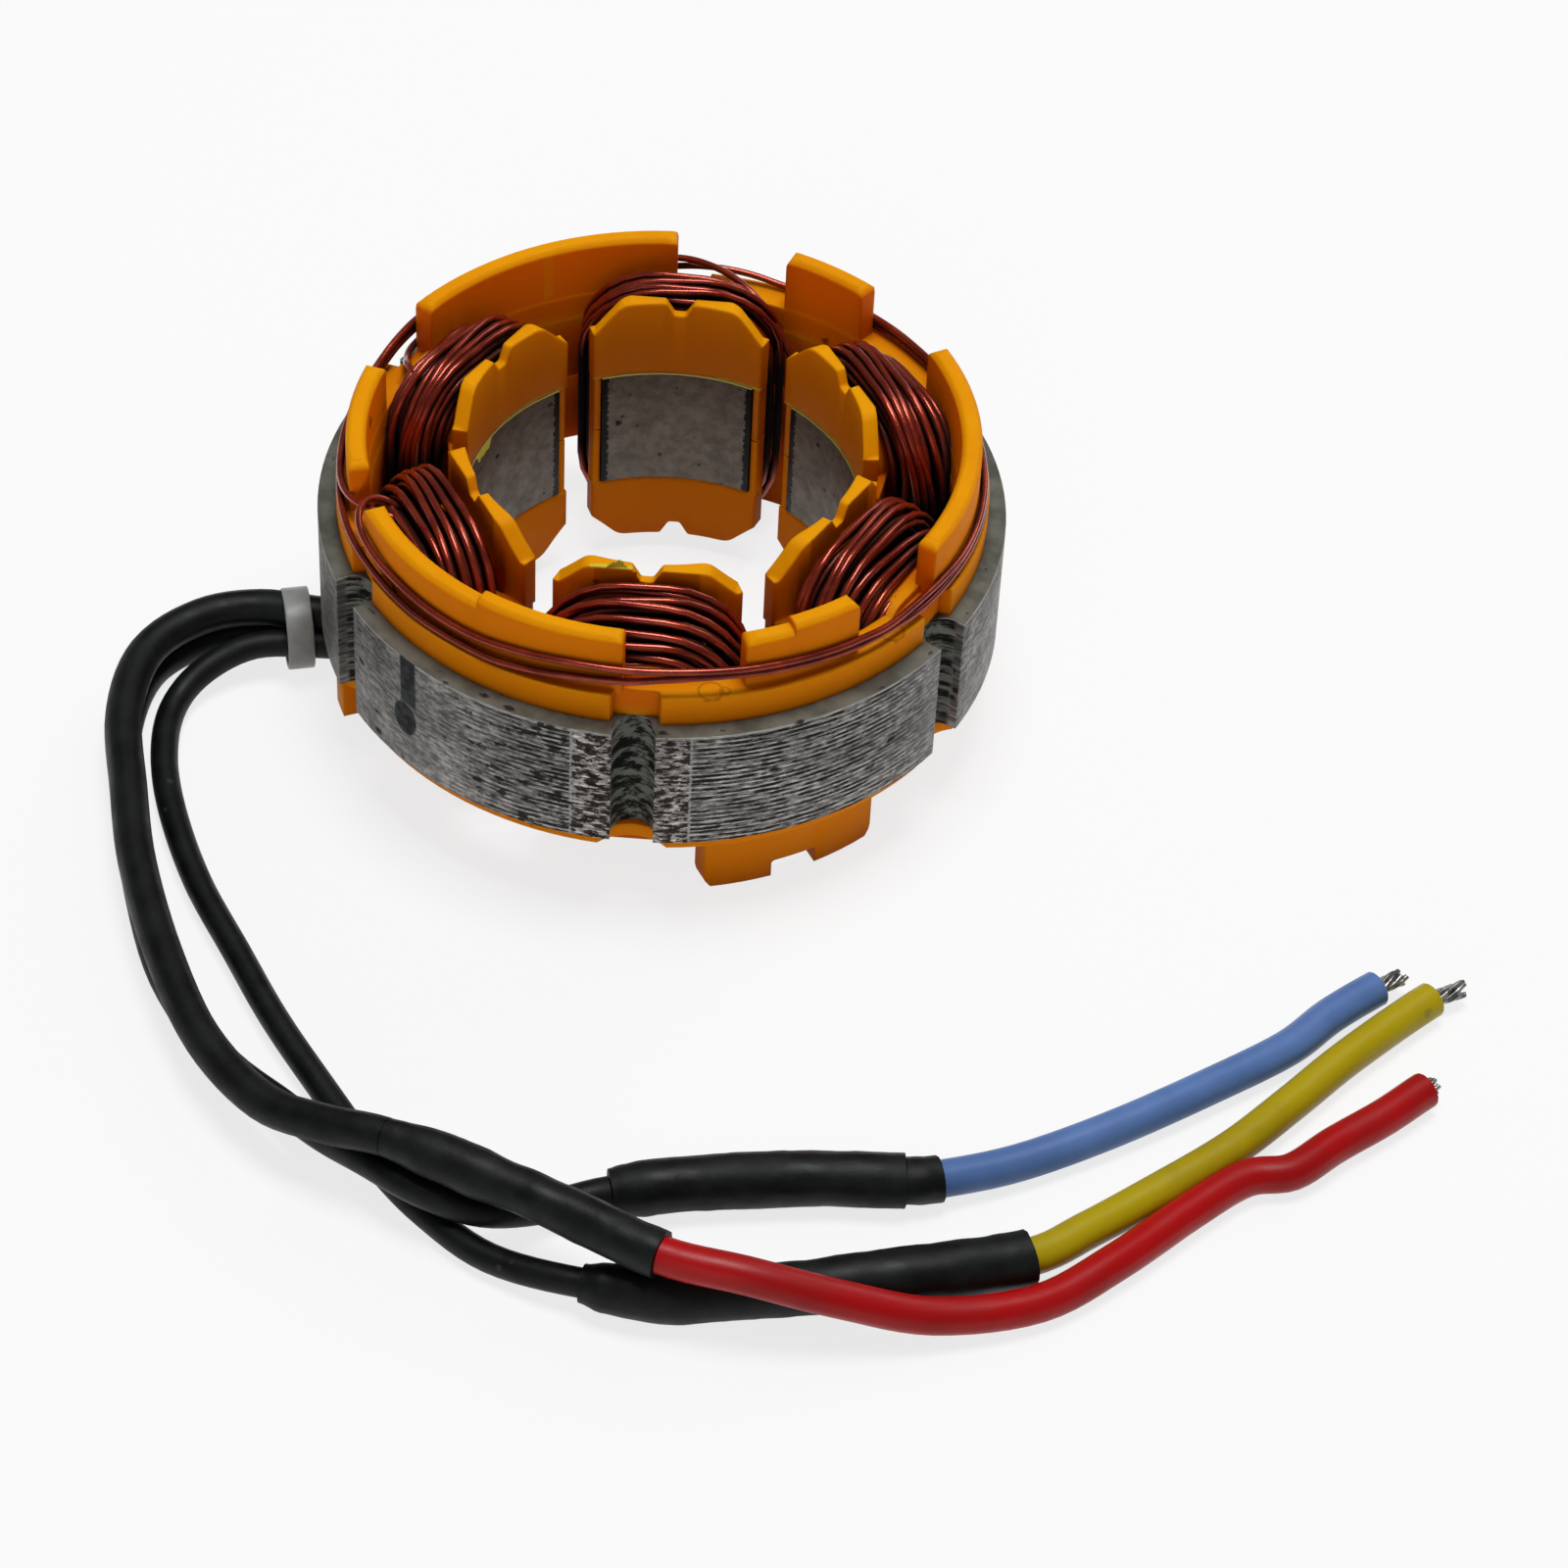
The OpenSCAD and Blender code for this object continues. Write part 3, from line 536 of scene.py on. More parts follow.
def makeEnamelledWire():
    mat, tree, skin, place = newMaterial("enamelledWire")
    tone = placeGroup(tree, cloudyTone, Vector=place, Scale=380.0, First=(0.36, 0.042, 0.015, 1), Second=(0.2, 0.018, 0.008, 1))
    z = splitXyz(tree, place)[2]
    # painted shade: wires turn near black deep between neighbours and down in the slots, near the middle height of the
    # steel
    outOfPaintedShade = placeGroup(tree, hollowShade, Distance=0.0024, Low=0.2, High=0.68)["Open"]
    clear = times(tree, outOfPaintedShade, ramp(tree, offFrom(tree, z, stackMid * mm), 0.0034, 0.0068))
    tree.links.new(blendColour(tree, clear, (0.004, 0.0008, 0.0008, 1), tone["Color"]), skin.inputs["Base Color"])
    tree.links.new(times(tree, clear, 0.7), skin.inputs["Metallic"])
    sheen = ramp(tree, noise(tree, place, 900.0, 3.0), 0.3, 0.7, 0.2, 0.3)
    dull = times(tree, maths(tree, "SUBTRACT", 1.0, clear), 0.65)
    tree.links.new(maths(tree, "ADD", sheen, dull), skin.inputs["Roughness"])
    tree.links.new(times(tree, clear, 0.45), skin.inputs["Coat Weight"])
    skin.inputs["Coat Roughness"].default_value = 0.14
    skin.inputs["Specular IOR Level"].default_value = 0.25
    tree.links.new(placeGroup(tree, fineGrain, Vector=place, Scale=1800.0, Depth=0.14)["Normal"], skin.inputs["Normal"])
    return mat


def makeBlackSleeve():
    mat, tree, skin, place = newMaterial("blackSleeve")
    tone = placeGroup(tree, cloudyTone, Vector=place, Scale=420.0,
                      First=(0.0012, 0.0017, 0.0016, 1), Second=(0.0055, 0.0078, 0.007, 1))
    lint = placeGroup(tree, specks, Vector=place, Scale=1200.0, Share=0.012)["Mask"]
    dusty = blendColour(tree, times(tree, lint, 0.3), tone["Color"], (0.08, 0.08, 0.078, 1))
    tree.links.new(dusty, skin.inputs["Base Color"])
    tree.links.new(ramp(tree, noise(tree, place, 340.0, 4.0), 0.3, 0.7, 0.42, 0.6), skin.inputs["Roughness"])
    skin.inputs["Specular IOR Level"].default_value = 0.22
    tree.links.new(placeGroup(tree, fineGrain, Vector=place, Scale=760.0, Depth=0.45)["Normal"], skin.inputs["Normal"])
    return mat


def makeLeadSkin(name, base, shade):
    mat, tree, skin, place = newMaterial(name)
    tone = placeGroup(tree, cloudyTone, Vector=place, Scale=150.0, First=(*base, 1), Second=(*shade, 1))
    smudge = placeGroup(tree, specks, Vector=place, Scale=700.0, Share=0.03)["Mask"]
    smudged = blendColour(tree, times(tree, smudge, 0.3), tone["Color"], (0.08, 0.06, 0.05, 1))
    tree.links.new(smudged, skin.inputs["Base Color"])
    tree.links.new(ramp(tree, noise(tree, place, 300.0, 4.0), 0.3, 0.7, 0.3, 0.45), skin.inputs["Roughness"])
    skin.inputs["Specular IOR Level"].default_value = 0.25
    skin.inputs["Subsurface Weight"].default_value = 0.08
    skin.inputs["Subsurface Scale"].default_value = 0.0006
    tree.links.new(placeGroup(tree, fineGrain, Vector=place, Scale=900.0, Depth=0.18)["Normal"], skin.inputs["Normal"])
    return mat


def makeTiePlastic():
    mat, tree, skin, place = newMaterial("tiePlastic")
    tone = placeGroup(tree, cloudyTone, Vector=place, Scale=330.0, First=(0.29, 0.29, 0.28, 1), Second=(0.21, 0.21, 0.2, 1))
    tree.links.new(tone["Color"], skin.inputs["Base Color"])
    tree.links.new(ramp(tree, noise(tree, place, 500.0, 3.0), 0.3, 0.7, 0.32, 0.46), skin.inputs["Roughness"])
    skin.inputs["Subsurface Weight"].default_value = 0.35
    skin.inputs["Subsurface Radius"].default_value = (1.0, 1.0, 0.95)
    skin.inputs["Subsurface Scale"].default_value = 0.0012
    tree.links.new(placeGroup(tree, fineGrain, Vector=place, Scale=1100.0, Depth=0.15)["Normal"], skin.inputs["Normal"])
    return mat


def makeTinnedStrands():
    mat, tree, skin, place = newMaterial("tinnedStrands")
    tone = placeGroup(tree, cloudyTone, Vector=place, Scale=1200.0, First=(0.4, 0.39, 0.37, 1), Second=(0.09, 0.088, 0.085, 1))
    tree.links.new(tone["Color"], skin.inputs["Base Color"])
    skin.inputs["Metallic"].default_value = 0.9
    tree.links.new(ramp(tree, noise(tree, place, 1500.0, 3.0), 0.3, 0.7, 0.24, 0.42), skin.inputs["Roughness"])
    tree.links.new(placeGroup(tree, fineGrain, Vector=place, Scale=2600.0, Depth=0.25)["Normal"], skin.inputs["Normal"])
    return mat


finish = {
    "core_steel": makeCoreSteel(laminate),
    "orange_plastic": makeOrangePlastic(moulding),
    "enamelled_wire": makeEnamelledWire(),
    "black_sleeve": makeBlackSleeve(),
    "tie_plastic": makeTiePlastic(),
    "red_lead": makeLeadSkin("redLead", (0.42, 0.003, 0.004), (0.32, 0.002, 0.003)),
    "yellow_lead": makeLeadSkin("yellowLead", (0.43, 0.33, 0.002), (0.34, 0.25, 0.0015)),
    "blue_lead": makeLeadSkin("blueLead", (0.11, 0.205, 0.47), (0.08, 0.16, 0.38)),
    "tinned_strands": makeTinnedStrands(),
}
print("finishes made:", len(finish))


def wear(piece, slotName):
    piece.data.materials.clear()
    piece.data.materials.append(finish[slotName])


# cords: the routes of the solids, a little nearer the photo, mm
redCord = {
    "route": (
        (-18, -0.8, 3.9), (-22, -0.8, 3.9), (-26.2, -0.4, 3.8), (-30, -1.4, 3.5), (-33, -4.8, 3.3), (-33.6, -10.6, 3.3),
        (-32.2, -17.5, 3.3), (-30.6, -24, 3.3), (-27.8, -31.5, 3.3), (-24.35, -38.35, 3.4),
        (-20.1, -43.2, 3.7), (-16.1, -45.4, 4.6),
        (-12.2, -46.8, 5.4), (-7, -48.8, 5.4), (-1.5, -51, 5.1), (4.5, -53.9, 5.1), (9.5, -54.8, 4.9), (15, -54.8, 3.4),
        (20.5, -54.2, 1.8), (26.5, -52.2, 1.2), (31, -48.6, 1.2), (35.4, -44.2, 1.2), (38.6, -41.4, 1.2), (41.4, -40.6, 1.2),
        (44, -38.2, 1.2), (47, -35.7, 1.2), (49.6, -33.2, 1.2), (51, -32.2, 1.2)),
    "breaks": (0, 12, 15, 26, 27), "sleeve": 2.4, "splice": 2.9, "lead": 2.3, "strands": 1.1, "bare": 0.4,
    "lumps": ((0, 0.8), (0.06, 0.86), (0.14, 1.0), (0.3, 1.07), (0.45, 0.98), (0.6, 1.02), (0.85, 1.0), (1, 1.0)),
}
yellowCord = {
    "route": (
        (-18, -2.2, 2.5), (-22, -2.2, 2.5), (-26.3, -2.6, 2.4), (-29.4, -4.6, 1.7), (-31, -7.6, 1), (-30.9, -12, 1),
        (-29.6, -17, 1), (-27.1, -23, 1), (-23.9, -28.6, 1), (-20.7, -34.1, 1), (-17.1, -39.4, 1), (-13.1, -45, 1),
        (-9.8, -48.6, 1), (-5.6, -51.7, 1), (0, -53.7, 1.8), (6, -54, 1.8), (13, -52.8, 1.8), (19.5, -51.1, 1.8),
        (25.8, -49.2, 1.7), (29.3, -46.3, 1.2), (33.1, -43.2, 1.2), (37.7, -39.2, 1.2), (41.4, -35.1, 1.2), (45, -30.9, 1.2),
        (50.2, -25.6, 1.2), (52.2, -24.5, 1.2)),
    "breaks": (0, 14, 18, 24, 25), "sleeve": 1.8, "splice": 3.5, "lead": 2.3, "strands": 1.05, "bare": 1.0,
    "lumps": ((0, 0.66), (0.05, 0.84), (0.12, 0.98), (0.22, 1.0), (0.34, 0.9), (0.46, 0.94), (0.7, 0.98), (1, 0.98)),
}
blueCord = {
    "route": (
        (-18, -0.3, 1.7), (-22, -0.3, 1.7), (-26.2, -0.4, 1.6), (-30, -1.4, 1.2), (-33, -4.8, 1), (-33.6, -10.6, 1),
        (-32.2, -17.5, 1), (-30.6, -24, 1), (-27.8, -31.5, 1), (-23.6, -37.5, 1), (-19.3, -41.2, 1.2), (-16.3, -44.1, 2),
        (-13.4, -46.6, 3), (-10, -48.7, 3.1), (-6.3, -49.4, 2.5), (-2.6, -47.8, 1.4), (1, -46.6, 1.7), (6.5, -45.3, 1.7),
        (12.5, -44.4, 1.7), (18.3, -44, 1.7), (20.3, -43.5, 1.5), (25, -41.5, 1.2), (30.7, -38.2, 1.2), (36.6, -34.1, 1.2),
        (41.2, -30.6, 1.2), (43.9, -27.6, 1.2), (46.8, -25, 1.2), (48.4, -23.8, 1.2)),
    "breaks": (0, 16, 19, 20, 26, 27), "sleeve": 2.0, "splice": 3.4, "collar": 2.9, "lead": 2.3, "strands": 1.05, "bare": 0.95,
    "lumps": ((0, 0.84), (0.05, 0.93), (0.12, 1.0), (0.3, 0.97), (0.5, 1.0), (0.8, 0.98), (1, 1.0)),
}


def smoothRun(points, steps):  # even curve through the points
    spots = [Vector(p) for p in points]
    run = []
    for i in range(len(spots) - 1):
        before = spots[max(i - 1, 0)]
        a, b = spots[i], spots[i + 1]
        after = spots[min(i + 2, len(spots) - 1)]
        for n in range(steps):
            t = n / steps
            run.append(0.5 * (2 * a + (b - before) * t + (2 * before - 5 * a + 4 * b - after) * t * t
                              + (3 * a - before - 3 * b + after) * t ** 3))
    run.append(spots[-1])
    return run


def runLength(run):
    return sum((b - a).length for a, b in zip(run, run[1:]))


def wireCurve(name, run, width, radii=None, rings=3):
    curve = bpy.data.curves.new(name, "CURVE")
    curve.dimensions = "3D"
    curve.bevel_depth = width / 2 * mm
    curve.bevel_resolution = rings
    curve.use_fill_caps = True
    line = curve.splines.new("POLY")
    line.points.add(len(run) - 1)
    for i, (dot, p) in enumerate(zip(line.points, run)):
        dot.co = (p[0] * mm, p[1] * mm, p[2] * mm, 1)
        dot.radius = radii[i] if radii else 1.0
    line.use_smooth = True
    piece = bpy.data.objects.new(name, curve)
    scene.collection.objects.link(piece)
    return piece


def toMesh(piece):
    pickOnly(piece)
    bpy.ops.object.convert(target="MESH")
    piece = bpy.context.object
    bpy.ops.object.mode_set(mode="EDIT")
    bpy.ops.mesh.select_all(action="SELECT")
    bpy.ops.mesh.remove_doubles(threshold=0.000002)
    bpy.ops.mesh.normals_make_consistent(inside=False)
    bpy.ops.object.mode_set(mode="OBJECT")
    bpy.ops.object.shade_smooth_by_angle(angle=math.radians(50))
    return piece


def alongLumps(lumps, t):
    for (t0, v0), (t1, v1) in zip(lumps, lumps[1:]):
        if t0 <= t <= t1:
            u = (t - t0) / (t1 - t0)
            u = u * u * (3 - 2 * u)
            return v0 + (v1 - v0) * u
    return lumps[-1][1]


def lumpySleeve(name, run, width, lumps, wall):  # shrink tube with a cut end
    dense = smoothRun(run, 3)
    reach = runLength(dense)
    radii, gone = [], 0.0
    for i, p in enumerate(dense):
        if i:
            gone += (p - dense[i - 1]).length
        radii.append(alongLumps(lumps, gone / reach))
    tail = (dense[-1] - dense[-2]).normalized()
    dense.append(dense[-1] + tail * 0.02)
    radii.append(1.0 - 2 * wall / width)
    piece = toMesh(wireCurve(name, dense, width, radii, 6))
    ripple = bpy.data.textures.new(name + "Ripple", "CLOUDS")
    ripple.noise_scale = 0.0022
    ripple.noise_depth = 2
    mod = piece.modifiers.new("ripple", "DISPLACE")
    mod.texture = ripple
    mod.texture_coords = "LOCAL"
    mod.strength = 0.00022
    mod.mid_level = 0.5
    applyAll(piece)
    return piece


def strandBundle(name, run, width, bare):  # seven twisted tinned wires, a little splayed
    along = (run[-1] - run[0])
    reach = along.length * bare
    along.normalize()
    side = along.cross(Vector((0, 0, 1))).normalized()
    upward = side.cross(along)
    wire = width / 3.1
    dice = random.Random(name)
    parts = []
    for n in range(8):
        ring = 0.0 if n == 0 else width / 2 - wire / 2
        start = dice.uniform(-0.1, 0.1) + n * math.tau / 7
        stop = reach * (1.0 + dice.uniform(-0.16, 0.14))
        pts = []
        for i in range(15):
            d = -0.9 + (stop + 0.9) * i / 14
            flare = 1.0 + 0.18 * max(0.0, d / reach) ** 2 * dice.uniform(0.6, 1.1)
            a = start + 1.1 * d
            pts.append(run[0] + along * d + (side * math.cos(a) + upward * math.sin(a)) * ring * flare)
        parts.append(toMesh(wireCurve(name + str(n), pts, wire, None, 2)))
    pickOnly(parts[0])
    for part in parts[1:]:
        part.select_set(True)
    bpy.ops.object.join()
    piece = bpy.context.object
    piece.name = name
    piece.data.name = name
    return piece


def layCord(colour, cord):
    route, breaks = cord["route"], cord["breaks"]
    stages = len(breaks) - 1
    whole = smoothRun(route, 6)

    def stretch(n):
        return whole[breaks[n] * 6:breaks[n + 1] * 6 + 1]

    sleeveRun = stretch(0)
    sleeve = wireCurve(colour + "Sleeve", sleeveRun, cord["sleeve"], None, 5)
    splice = lumpySleeve(colour + "Splice", stretch(1), cord["splice"], cord["lumps"], 0.35)
    if "collar" in cord:
        collar = lumpySleeve(colour + "Collar", stretch(2), cord["collar"], ((0, 1), (1, 1)), 0.3)
        wear(collar, "black_sleeve")
        settle(collar)
        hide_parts(colour + "_collar")
    leadRun = stretch(stages - 2)
    lead = wireCurve(colour + "Lead", leadRun, cord["lead"], None, 6)
    strands = strandBundle(colour + "Strands", stretch(stages - 1), cord["strands"], cord["bare"])
    pieceSlots = ((sleeve, "black_sleeve"), (splice, "black_sleeve"), (lead, colour + "_lead"), (strands, "tinned_strands"))
    for piece, slotName in pieceSlots:
        wear(piece, slotName)
        settle(piece)
    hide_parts(colour + "_sleeve")
    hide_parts(colour + "_splice")
    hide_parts(colour + "_lead")
    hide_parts(colour + "_strands")
    print(colour, "cord:", round(runLength(sleeveRun), 1), "mm sleeve,", round(runLength(leadRun), 1), "mm lead")


layCord("red", redCord)
layCord("yellow", yellowCord)
layCord("blue", blueCord)

# winding ends out of the sleeves and up to the coils, under the core
tails = {
    "wire": 0.48, "offsets": ((0.25, 0.14), (-0.25, 0.14), (0.0, -0.29)),
    "runs": (
        ((-18.6, -0.8, 3.9), (-17.4, -0.7, 4.0), (-16.9, 0.4, 4.6), (-16.7, 1.8, 5.4), (-16.6, 3.2, 6.2)),
        ((-18.6, -2.2, 2.5), (-17.4, -2.3, 2.6), (-16.9, -3.0, 3.2), (-16.7, -3.8, 4.2), (-16.6, -4.4, 5.4)),
        ((-18.6, -0.3, 1.7), (-17.4, 0.0, 1.8), (-16.8, 1.2, 2.4), (-16.6, 2.6, 3.4), (-16.6, 3.8, 4.6))),
}


def addTails(t):
    parts = []
    for n, run in enumerate(t["runs"]):
        for k, (across, rise) in enumerate(t["offsets"]):
            spots = [(x, y + across, z + rise) for x, y, z in run]
            parts.append(toMesh(wireCurve("tail" + str(n) + str(k), smoothRun(spots, 6), t["wire"], None, 2)))
    pickOnly(parts[0])
    for part in parts[1:]:
        part.select_set(True)
    bpy.ops.object.join()
    piece = bpy.context.object
    piece.name = "windingTails"
    piece.data.name = "windingTails"
    wear(piece, "enamelled_wire")
    settle(piece)


addTails(tails)
print("winding ends laid")

# windings: one long wire round each tooth
winding = {
    "wire": 0.48, "pitch": 0.6, "arm": 3.86, "armTop": 7.16, "bend": 2.5, "start": 14.72,
    "stray": 0.15, "slant": 0.3, "lift": 0.14, "fall": 0.12,
    "layers": (  # turns in the slot, spread at the top from and to
        {"turns": 6, "top": (14.5, 18.2)},
        {"turns": 6, "top": (14.4, 18.0)},
        {"turns": 5, "top": (14.3, 17.7)},
        {"turns": 5, "top": (14.3, 17.1)},
        {"turns": 4, "top": (14.3, 16.4)},
    ),
    "frontCoil": 3, "frontTops": {2: (14.3, 15.2, 16.1, 17.3, 18.05),
                                    3: (14.3, 15.0, 15.65, 16.45, 17.6), 4: (14.25, 15.3, 15.95, 16.9)},
}


def windTurn(run, coil, k, x0, x1, top0, dice):
    grow = (k + 0.5) * coil["pitch"]
    halfW, halfH, bend = coil["arm"] + grow, coil["armTop"] + grow, coil["bend"] + grow
    flat, wallZ = halfW - bend, halfH - bend
    loop = [(0.0, -halfH)]
    for sy, sz, a0 in ((1, -1, -90), (1, 1, 0), (-1, 1, 90), (-1, -1, 180)):
        for i in range(7):
            a = math.radians(a0 + 15 * i)
            loop.append((sy * flat + bend * math.cos(a), sz * wallZ + bend * math.sin(a)))
        if sy == 1 and sz == -1:
            loop += [(halfW, wallZ * t) for t in (-0.5, 0.0, 0.5)]
        if sy == 1 and sz == 1:
            loop.append((0.0, halfH))
        if sy == -1 and sz == 1:
            loop += [(-halfW, wallZ * t) for t in (0.5, 0.0, -0.5)]
    lift = dice.uniform(-1.2, 1) * coil["lift"] - (top0 - coil["start"]) * coil["fall"]
    slant = dice.uniform(-1, 1) * coil["slant"]
    low0 = coil["start"] + (x0 - coil["start"]) * 0.55 + dice.uniform(-0.12, 0.12)
    sag = dice.uniform(-0.05, 0.05)
    for n, (y, z) in enumerate(loop):
        part = n / len(loop)
        x = x0 + (x1 - x0) * part
        up = min(max((z - 1.5) / (halfH - 1.5), 0.0), 1.0)
        up = up * up * (3 - 2 * up)
        down = min(max((-z - 3.0) / (halfH - 3.0), 0.0), 1.0)
        x = x + (top0 + slant * y / 3 - x) * up + (low0 - x) * down
        run.append((x, y * (1 + 0.012 * sag), z + (lift * up if z > 0 else 0.0)))


def windCoil(n, coil):
    dice = random.Random(40 + n)
    run = []
    for k, layer in enumerate(coil["layers"]):
        count = layer["turns"]
        order = range(count) if k % 2 == 0 else range(count - 1, -1, -1)
        step = coil["pitch"] * 1.02
        first, last = layer["top"]
        for j in order:
            x0 = coil["start"] + j * step
            ahead = step if k % 2 == 0 else -step
            top0 = first + (last - first) * j / (count - 1) + dice.uniform(-1, 1) * coil["stray"]
            if n == coil["frontCoil"] and k in coil["frontTops"]:
                top0 = coil["frontTops"][k][j]
            windTurn(run, coil, k, x0, x0 + ahead * 0.9, top0, dice)
    turn = math.radians(90 + 60 * n)
    c, s = math.cos(turn), math.sin(turn)
    placed = [Vector((x * c - y * s, x * s + y * c, z + stackMid)) for x, y, z in run]
    piece = toMesh(wireCurve("coilWinding" + str(n + 1), placed, coil["wire"], None, 2))
    wear(piece, "enamelled_wire")
    settle(piece)
    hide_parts("coil_" + str(n + 1))
    return piece


for n in range(6):
    windCoil(n, winding)
print("six coils wound")

# link wires round the outside of the walls: angle, radius, height above the steel
links = {
    "linkWire1": {"node": "link_wire_1", "width": 0.47, "run": (
        (162, 17.0, 4.0), (158.5, 18.3, 3.9), (153.5, 19.5, 2.9), (148, 20.3, 2.45), (141, 20.48, 2.42), (130, 20.5, 2.42),
        (115, 20.5, 2.42), (102, 20.5, 2.5), (92, 20.5, 2.75), (86, 20.5, 2.9), (79, 20.5, 2.82), (71.7, 20.5, 2.5),
        (62, 20.5, 2.42), (51, 20.5, 2.45), (42, 20.5, 2.4), (30, 20.5, 2.42), (15, 20.5, 2.4), (0, 20.5, 2.42),
        (-15, 20.46, 2.5), (-30, 20.44, 2.7), (-41, 20.44, 2.88), (-52, 20.44, 3.02), (-64, 20.44, 3.3),
        (-71, 20.42, 3.46), (-79, 20.38, 3.5),
        (-87, 20.4, 3.32), (-92, 20.45, 3.12), (-101, 20.5, 2.95), (-110, 20.56, 2.62),
        (-119, 20.6, 2.42), (-135, 20.62, 2.4), (-152, 20.62, 2.42), (-166, 20.6, 2.45), (-182, 20.55, 2.48),
        (-194, 20.5, 2.6), (-201, 20.5, 2.75), (-208, 20.5, 3.25), (-215, 20.52, 3.45),
        (-223, 20.5, 3.32), (-231, 20.5, 3.44), (-237, 20.5, 3.37), (-243, 20.5, 3.22))},
    "linkWire2": {"node": "link_wire_2", "width": 0.47, "run": (
        (202, 17.2, 3.4), (200.5, 18.4, 4.1), (201, 19.4, 4.25), (204, 20.15, 4.05), (209, 20.45, 3.8),
        (217, 20.43, 3.55), (229, 20.42, 3.42),
        (240, 20.42, 3.42), (250, 20.42, 3.74), (259, 20.42, 4.0), (268, 20.42, 4.03), (277, 20.36, 4.0), (286, 20.4, 3.9),
        (294, 20.42, 3.77), (303, 20.42, 3.58), (311, 20.42, 3.42), (320, 20.42, 3.34), (340, 20.44, 3.2),
        (358, 20.44, 3.05), (376, 20.43, 3.04), (390, 20.44, 3.03), (402, 20.44, 3.02), (411, 20.46, 3.06),
        (418, 20.48, 2.92), (425, 20.5, 2.62), (430.5, 20.5, 2.47))},
    "linkWire3": {"node": "link_wire_3", "width": 0.47, "run": (
        (64, 16.9, -0.4), (67, 17.0, 1.2), (70.5, 17.2, 2.5), (74.5, 17.6, 3.4), (79.5, 18.5, 3.75), (85, 19.5, 3.75),
        (91, 20.4, 3.5), (98, 20.5, 3.3), (110, 20.5, 3.1), (124, 20.5, 3.4), (136, 20.5, 3.95), (145, 20.52, 4.1),
        (152, 20.5, 3.85), (159, 20.5, 3.4), (166, 20.5, 3.2), (176, 20.5, 3.1), (186, 20.5, 3.06), (193, 20.4, 3.3),
        (198, 19.9, 3.5), (202, 18.9, 3.6), (206, 17.4, 3.4))},
}


def layLink(name, link):
    spots = []
    for angle, radius, height in link["run"]:
        a = math.radians(angle)
        spots.append((radius * math.cos(a), radius * math.sin(a), stackTop + height))
    piece = toMesh(wireCurve(name, smoothRun(spots, 7), link["width"], None, 2))
    wear(piece, "enamelled_wire")
    settle(piece)
    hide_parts(link["node"])


for name, link in links.items():
    layLink(name, link)
print("link wires laid")

# tie round the three sleeves
tie = {"place": (-23.7, -1.05, 2.8), "inner": 4.85, "thick": 0.27, "wide": 1.75, "head": 1.5, "headTurn": -70, "turn": 14}


def addTie(t):
    clearSelection()
    centre = Vector(t["place"]) * mm
    bpy.ops.mesh.primitive_cylinder_add(vertices=56, radius=(t["inner"] / 2) * mm, depth=t["wide"] * mm,
                                        end_fill_type="NOTHING", location=centre,
                                        rotation=(0, math.pi / 2, math.radians(t["turn"])))
    band = bpy.context.object
    bpy.ops.object.transform_apply(location=True, rotation=True, scale=True)
    wall = band.modifiers.new("wall", "SOLIDIFY")
    wall.thickness = t["thick"] * mm
    wall.offset = 1
    soft = band.modifiers.new("soft", "BEVEL")
    soft.width = 0.12 * mm
    soft.segments = 3
    soft.limit_method = "ANGLE"
    soft.angle_limit = math.radians(50)
    applyAll(band)
    turn = math.radians(t["headTurn"])
    away = Vector((0, -math.sin(turn), -math.cos(turn)))
    clearSelection()
    bpy.ops.mesh.primitive_cube_add(size=1, location=(0, 0, 0))
    head = bpy.context.object
    head.scale = (t["wide"] * mm, t["head"] * mm, t["head"] * mm)
    bpy.ops.object.transform_apply(location=False, rotation=False, scale=True)
    bpy.ops.object.mode_set(mode="EDIT")
    bpy.ops.mesh.select_all(action="SELECT")
    bpy.ops.mesh.bevel(offset=0.25 * mm, segments=3)
    bpy.ops.object.mode_set(mode="OBJECT")
    reach = (t["inner"] / 2 + t["head"] / 2) * mm
    lean = Vector((0, 0, 1)).rotation_difference(away)
    spin = Matrix.Rotation(math.radians(t["turn"]), 4, "Z")
    head.matrix_world = Matrix.Translation(centre) @ spin @ Matrix.Translation(away * reach) @ lean.to_matrix().to_4x4()
    bpy.ops.object.transform_apply(location=True, rotation=True, scale=True)
    pickOnly(band)
    head.select_set(True)
    bpy.ops.object.join()
    band.name = "cableTie"
    bpy.ops.object.shade_smooth_by_angle(angle=math.radians(40))
    wear(band, "tie_plastic")
    settle(band)
    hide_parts("cable_tie")


addTie(tie)
print("tie closed")

# torn fin of plastic on the front petal
flashFin = {"from": -2.6, "to": -0.65, "y": -13.15, "low": 20.5, "high": 21.75, "thick": 0.1}


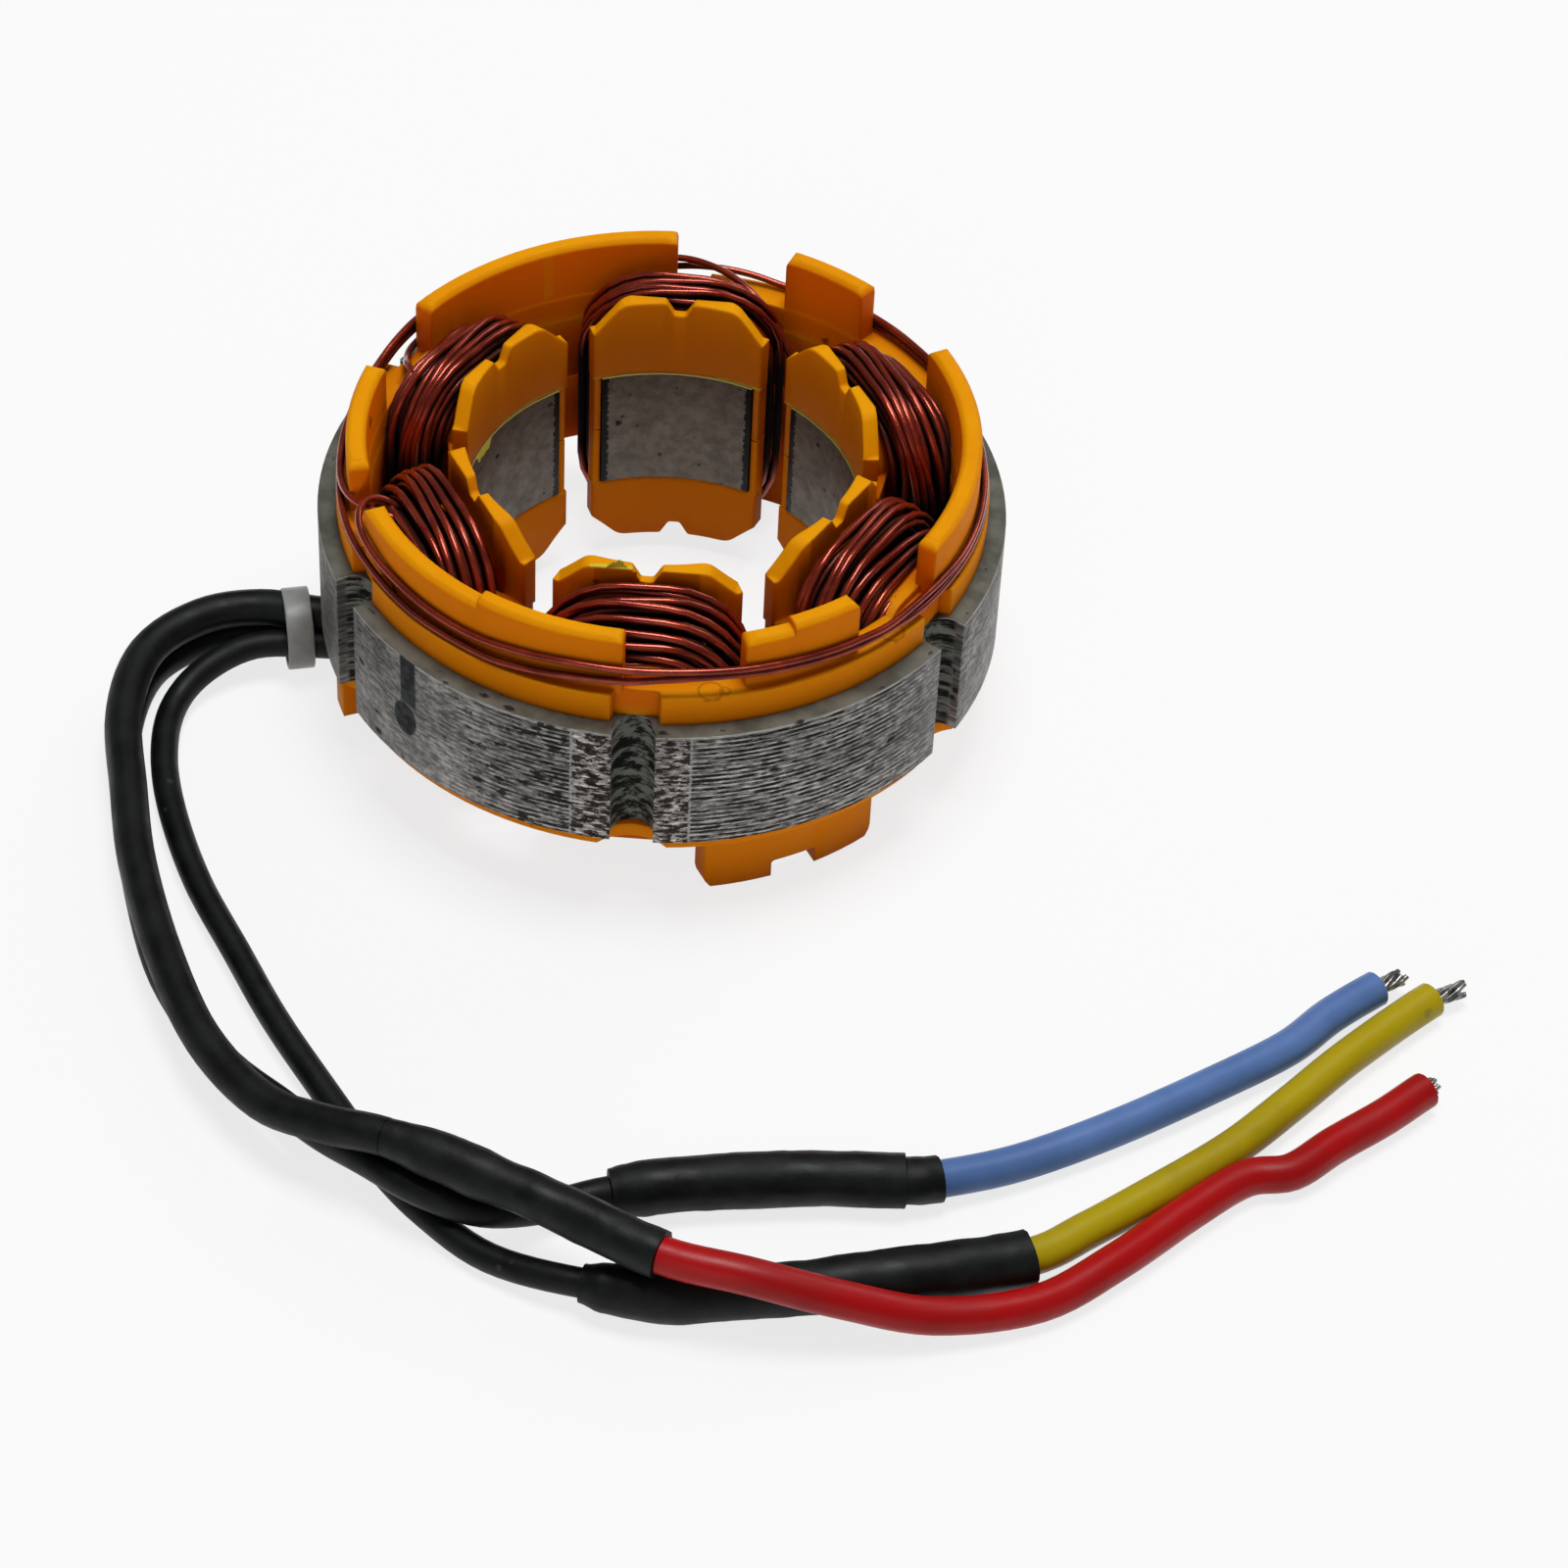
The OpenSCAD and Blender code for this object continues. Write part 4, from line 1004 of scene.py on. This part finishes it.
def addFlashFin(fin):
    clearSelection()
    middle = ((fin["from"] + fin["to"]) / 2 * mm, fin["y"] * mm, (fin["low"] + fin["high"]) / 2 * mm)
    bpy.ops.mesh.primitive_grid_add(x_subdivisions=18, y_subdivisions=8, size=1, location=middle, rotation=(math.pi / 2, 0, 0))
    piece = bpy.context.object
    piece.scale = ((fin["to"] - fin["from"]) * mm, (fin["high"] - fin["low"]) * mm, 1)
    bpy.ops.object.transform_apply(location=True, rotation=True, scale=True)
    dice = random.Random(5)
    heights = [0.35 + 0.5 * math.sin(math.pi * min(i * 1.25, 18) / 18) + dice.uniform(-0.08, 0.08) for i in range(19)]
    tall = (fin["high"] - fin["low"]) * mm
    for v in piece.data.vertices:
        i = round((v.co.x / mm - fin["from"]) / (fin["to"] - fin["from"]) * 18)
        v.co.z = fin["low"] * mm + (v.co.z - fin["low"] * mm) * min(max(heights[i], 0.2), 1.0)
        v.co.y += 0.00012 * math.sin(3.1 * v.co.x / mm) * (v.co.z - fin["low"] * mm) / tall
    wall = piece.modifiers.new("wall", "SOLIDIFY")
    wall.thickness = fin["thick"] * mm
    wall.offset = 0
    applyAll(piece)
    bpy.ops.object.shade_smooth_by_angle(angle=math.radians(50))
    piece.name = "flashFin"
    piece.data.name = "flashFin"
    wear(piece, "orange_plastic")
    settle(piece)


addFlashFin(flashFin)
print("flash fin added")

# moulded frames and steel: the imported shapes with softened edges
softEdges = {
    "top_insulator": (0.12, "orange_plastic"), "bottom_insulator": (0.12, "orange_plastic"),
    "laminated_core": (0.05, "core_steel"),
}


def softenNode(name, width, slotName):
    node = cadNodes[name]
    node.data.materials.clear()
    node.data.materials.append(finish[slotName])
    merge = node.modifiers.new("merge", "WELD")
    merge.merge_threshold = 0.000002
    edge = node.modifiers.new("edge", "BEVEL")
    edge.width = width * mm
    edge.segments = 2
    edge.limit_method = "ANGLE"
    edge.angle_limit = math.radians(38)
    edge.use_clamp_overlap = True


for name, (width, slotName) in softEdges.items():
    softenNode(name, width, slotName)
print("moulded frames and steel finished")
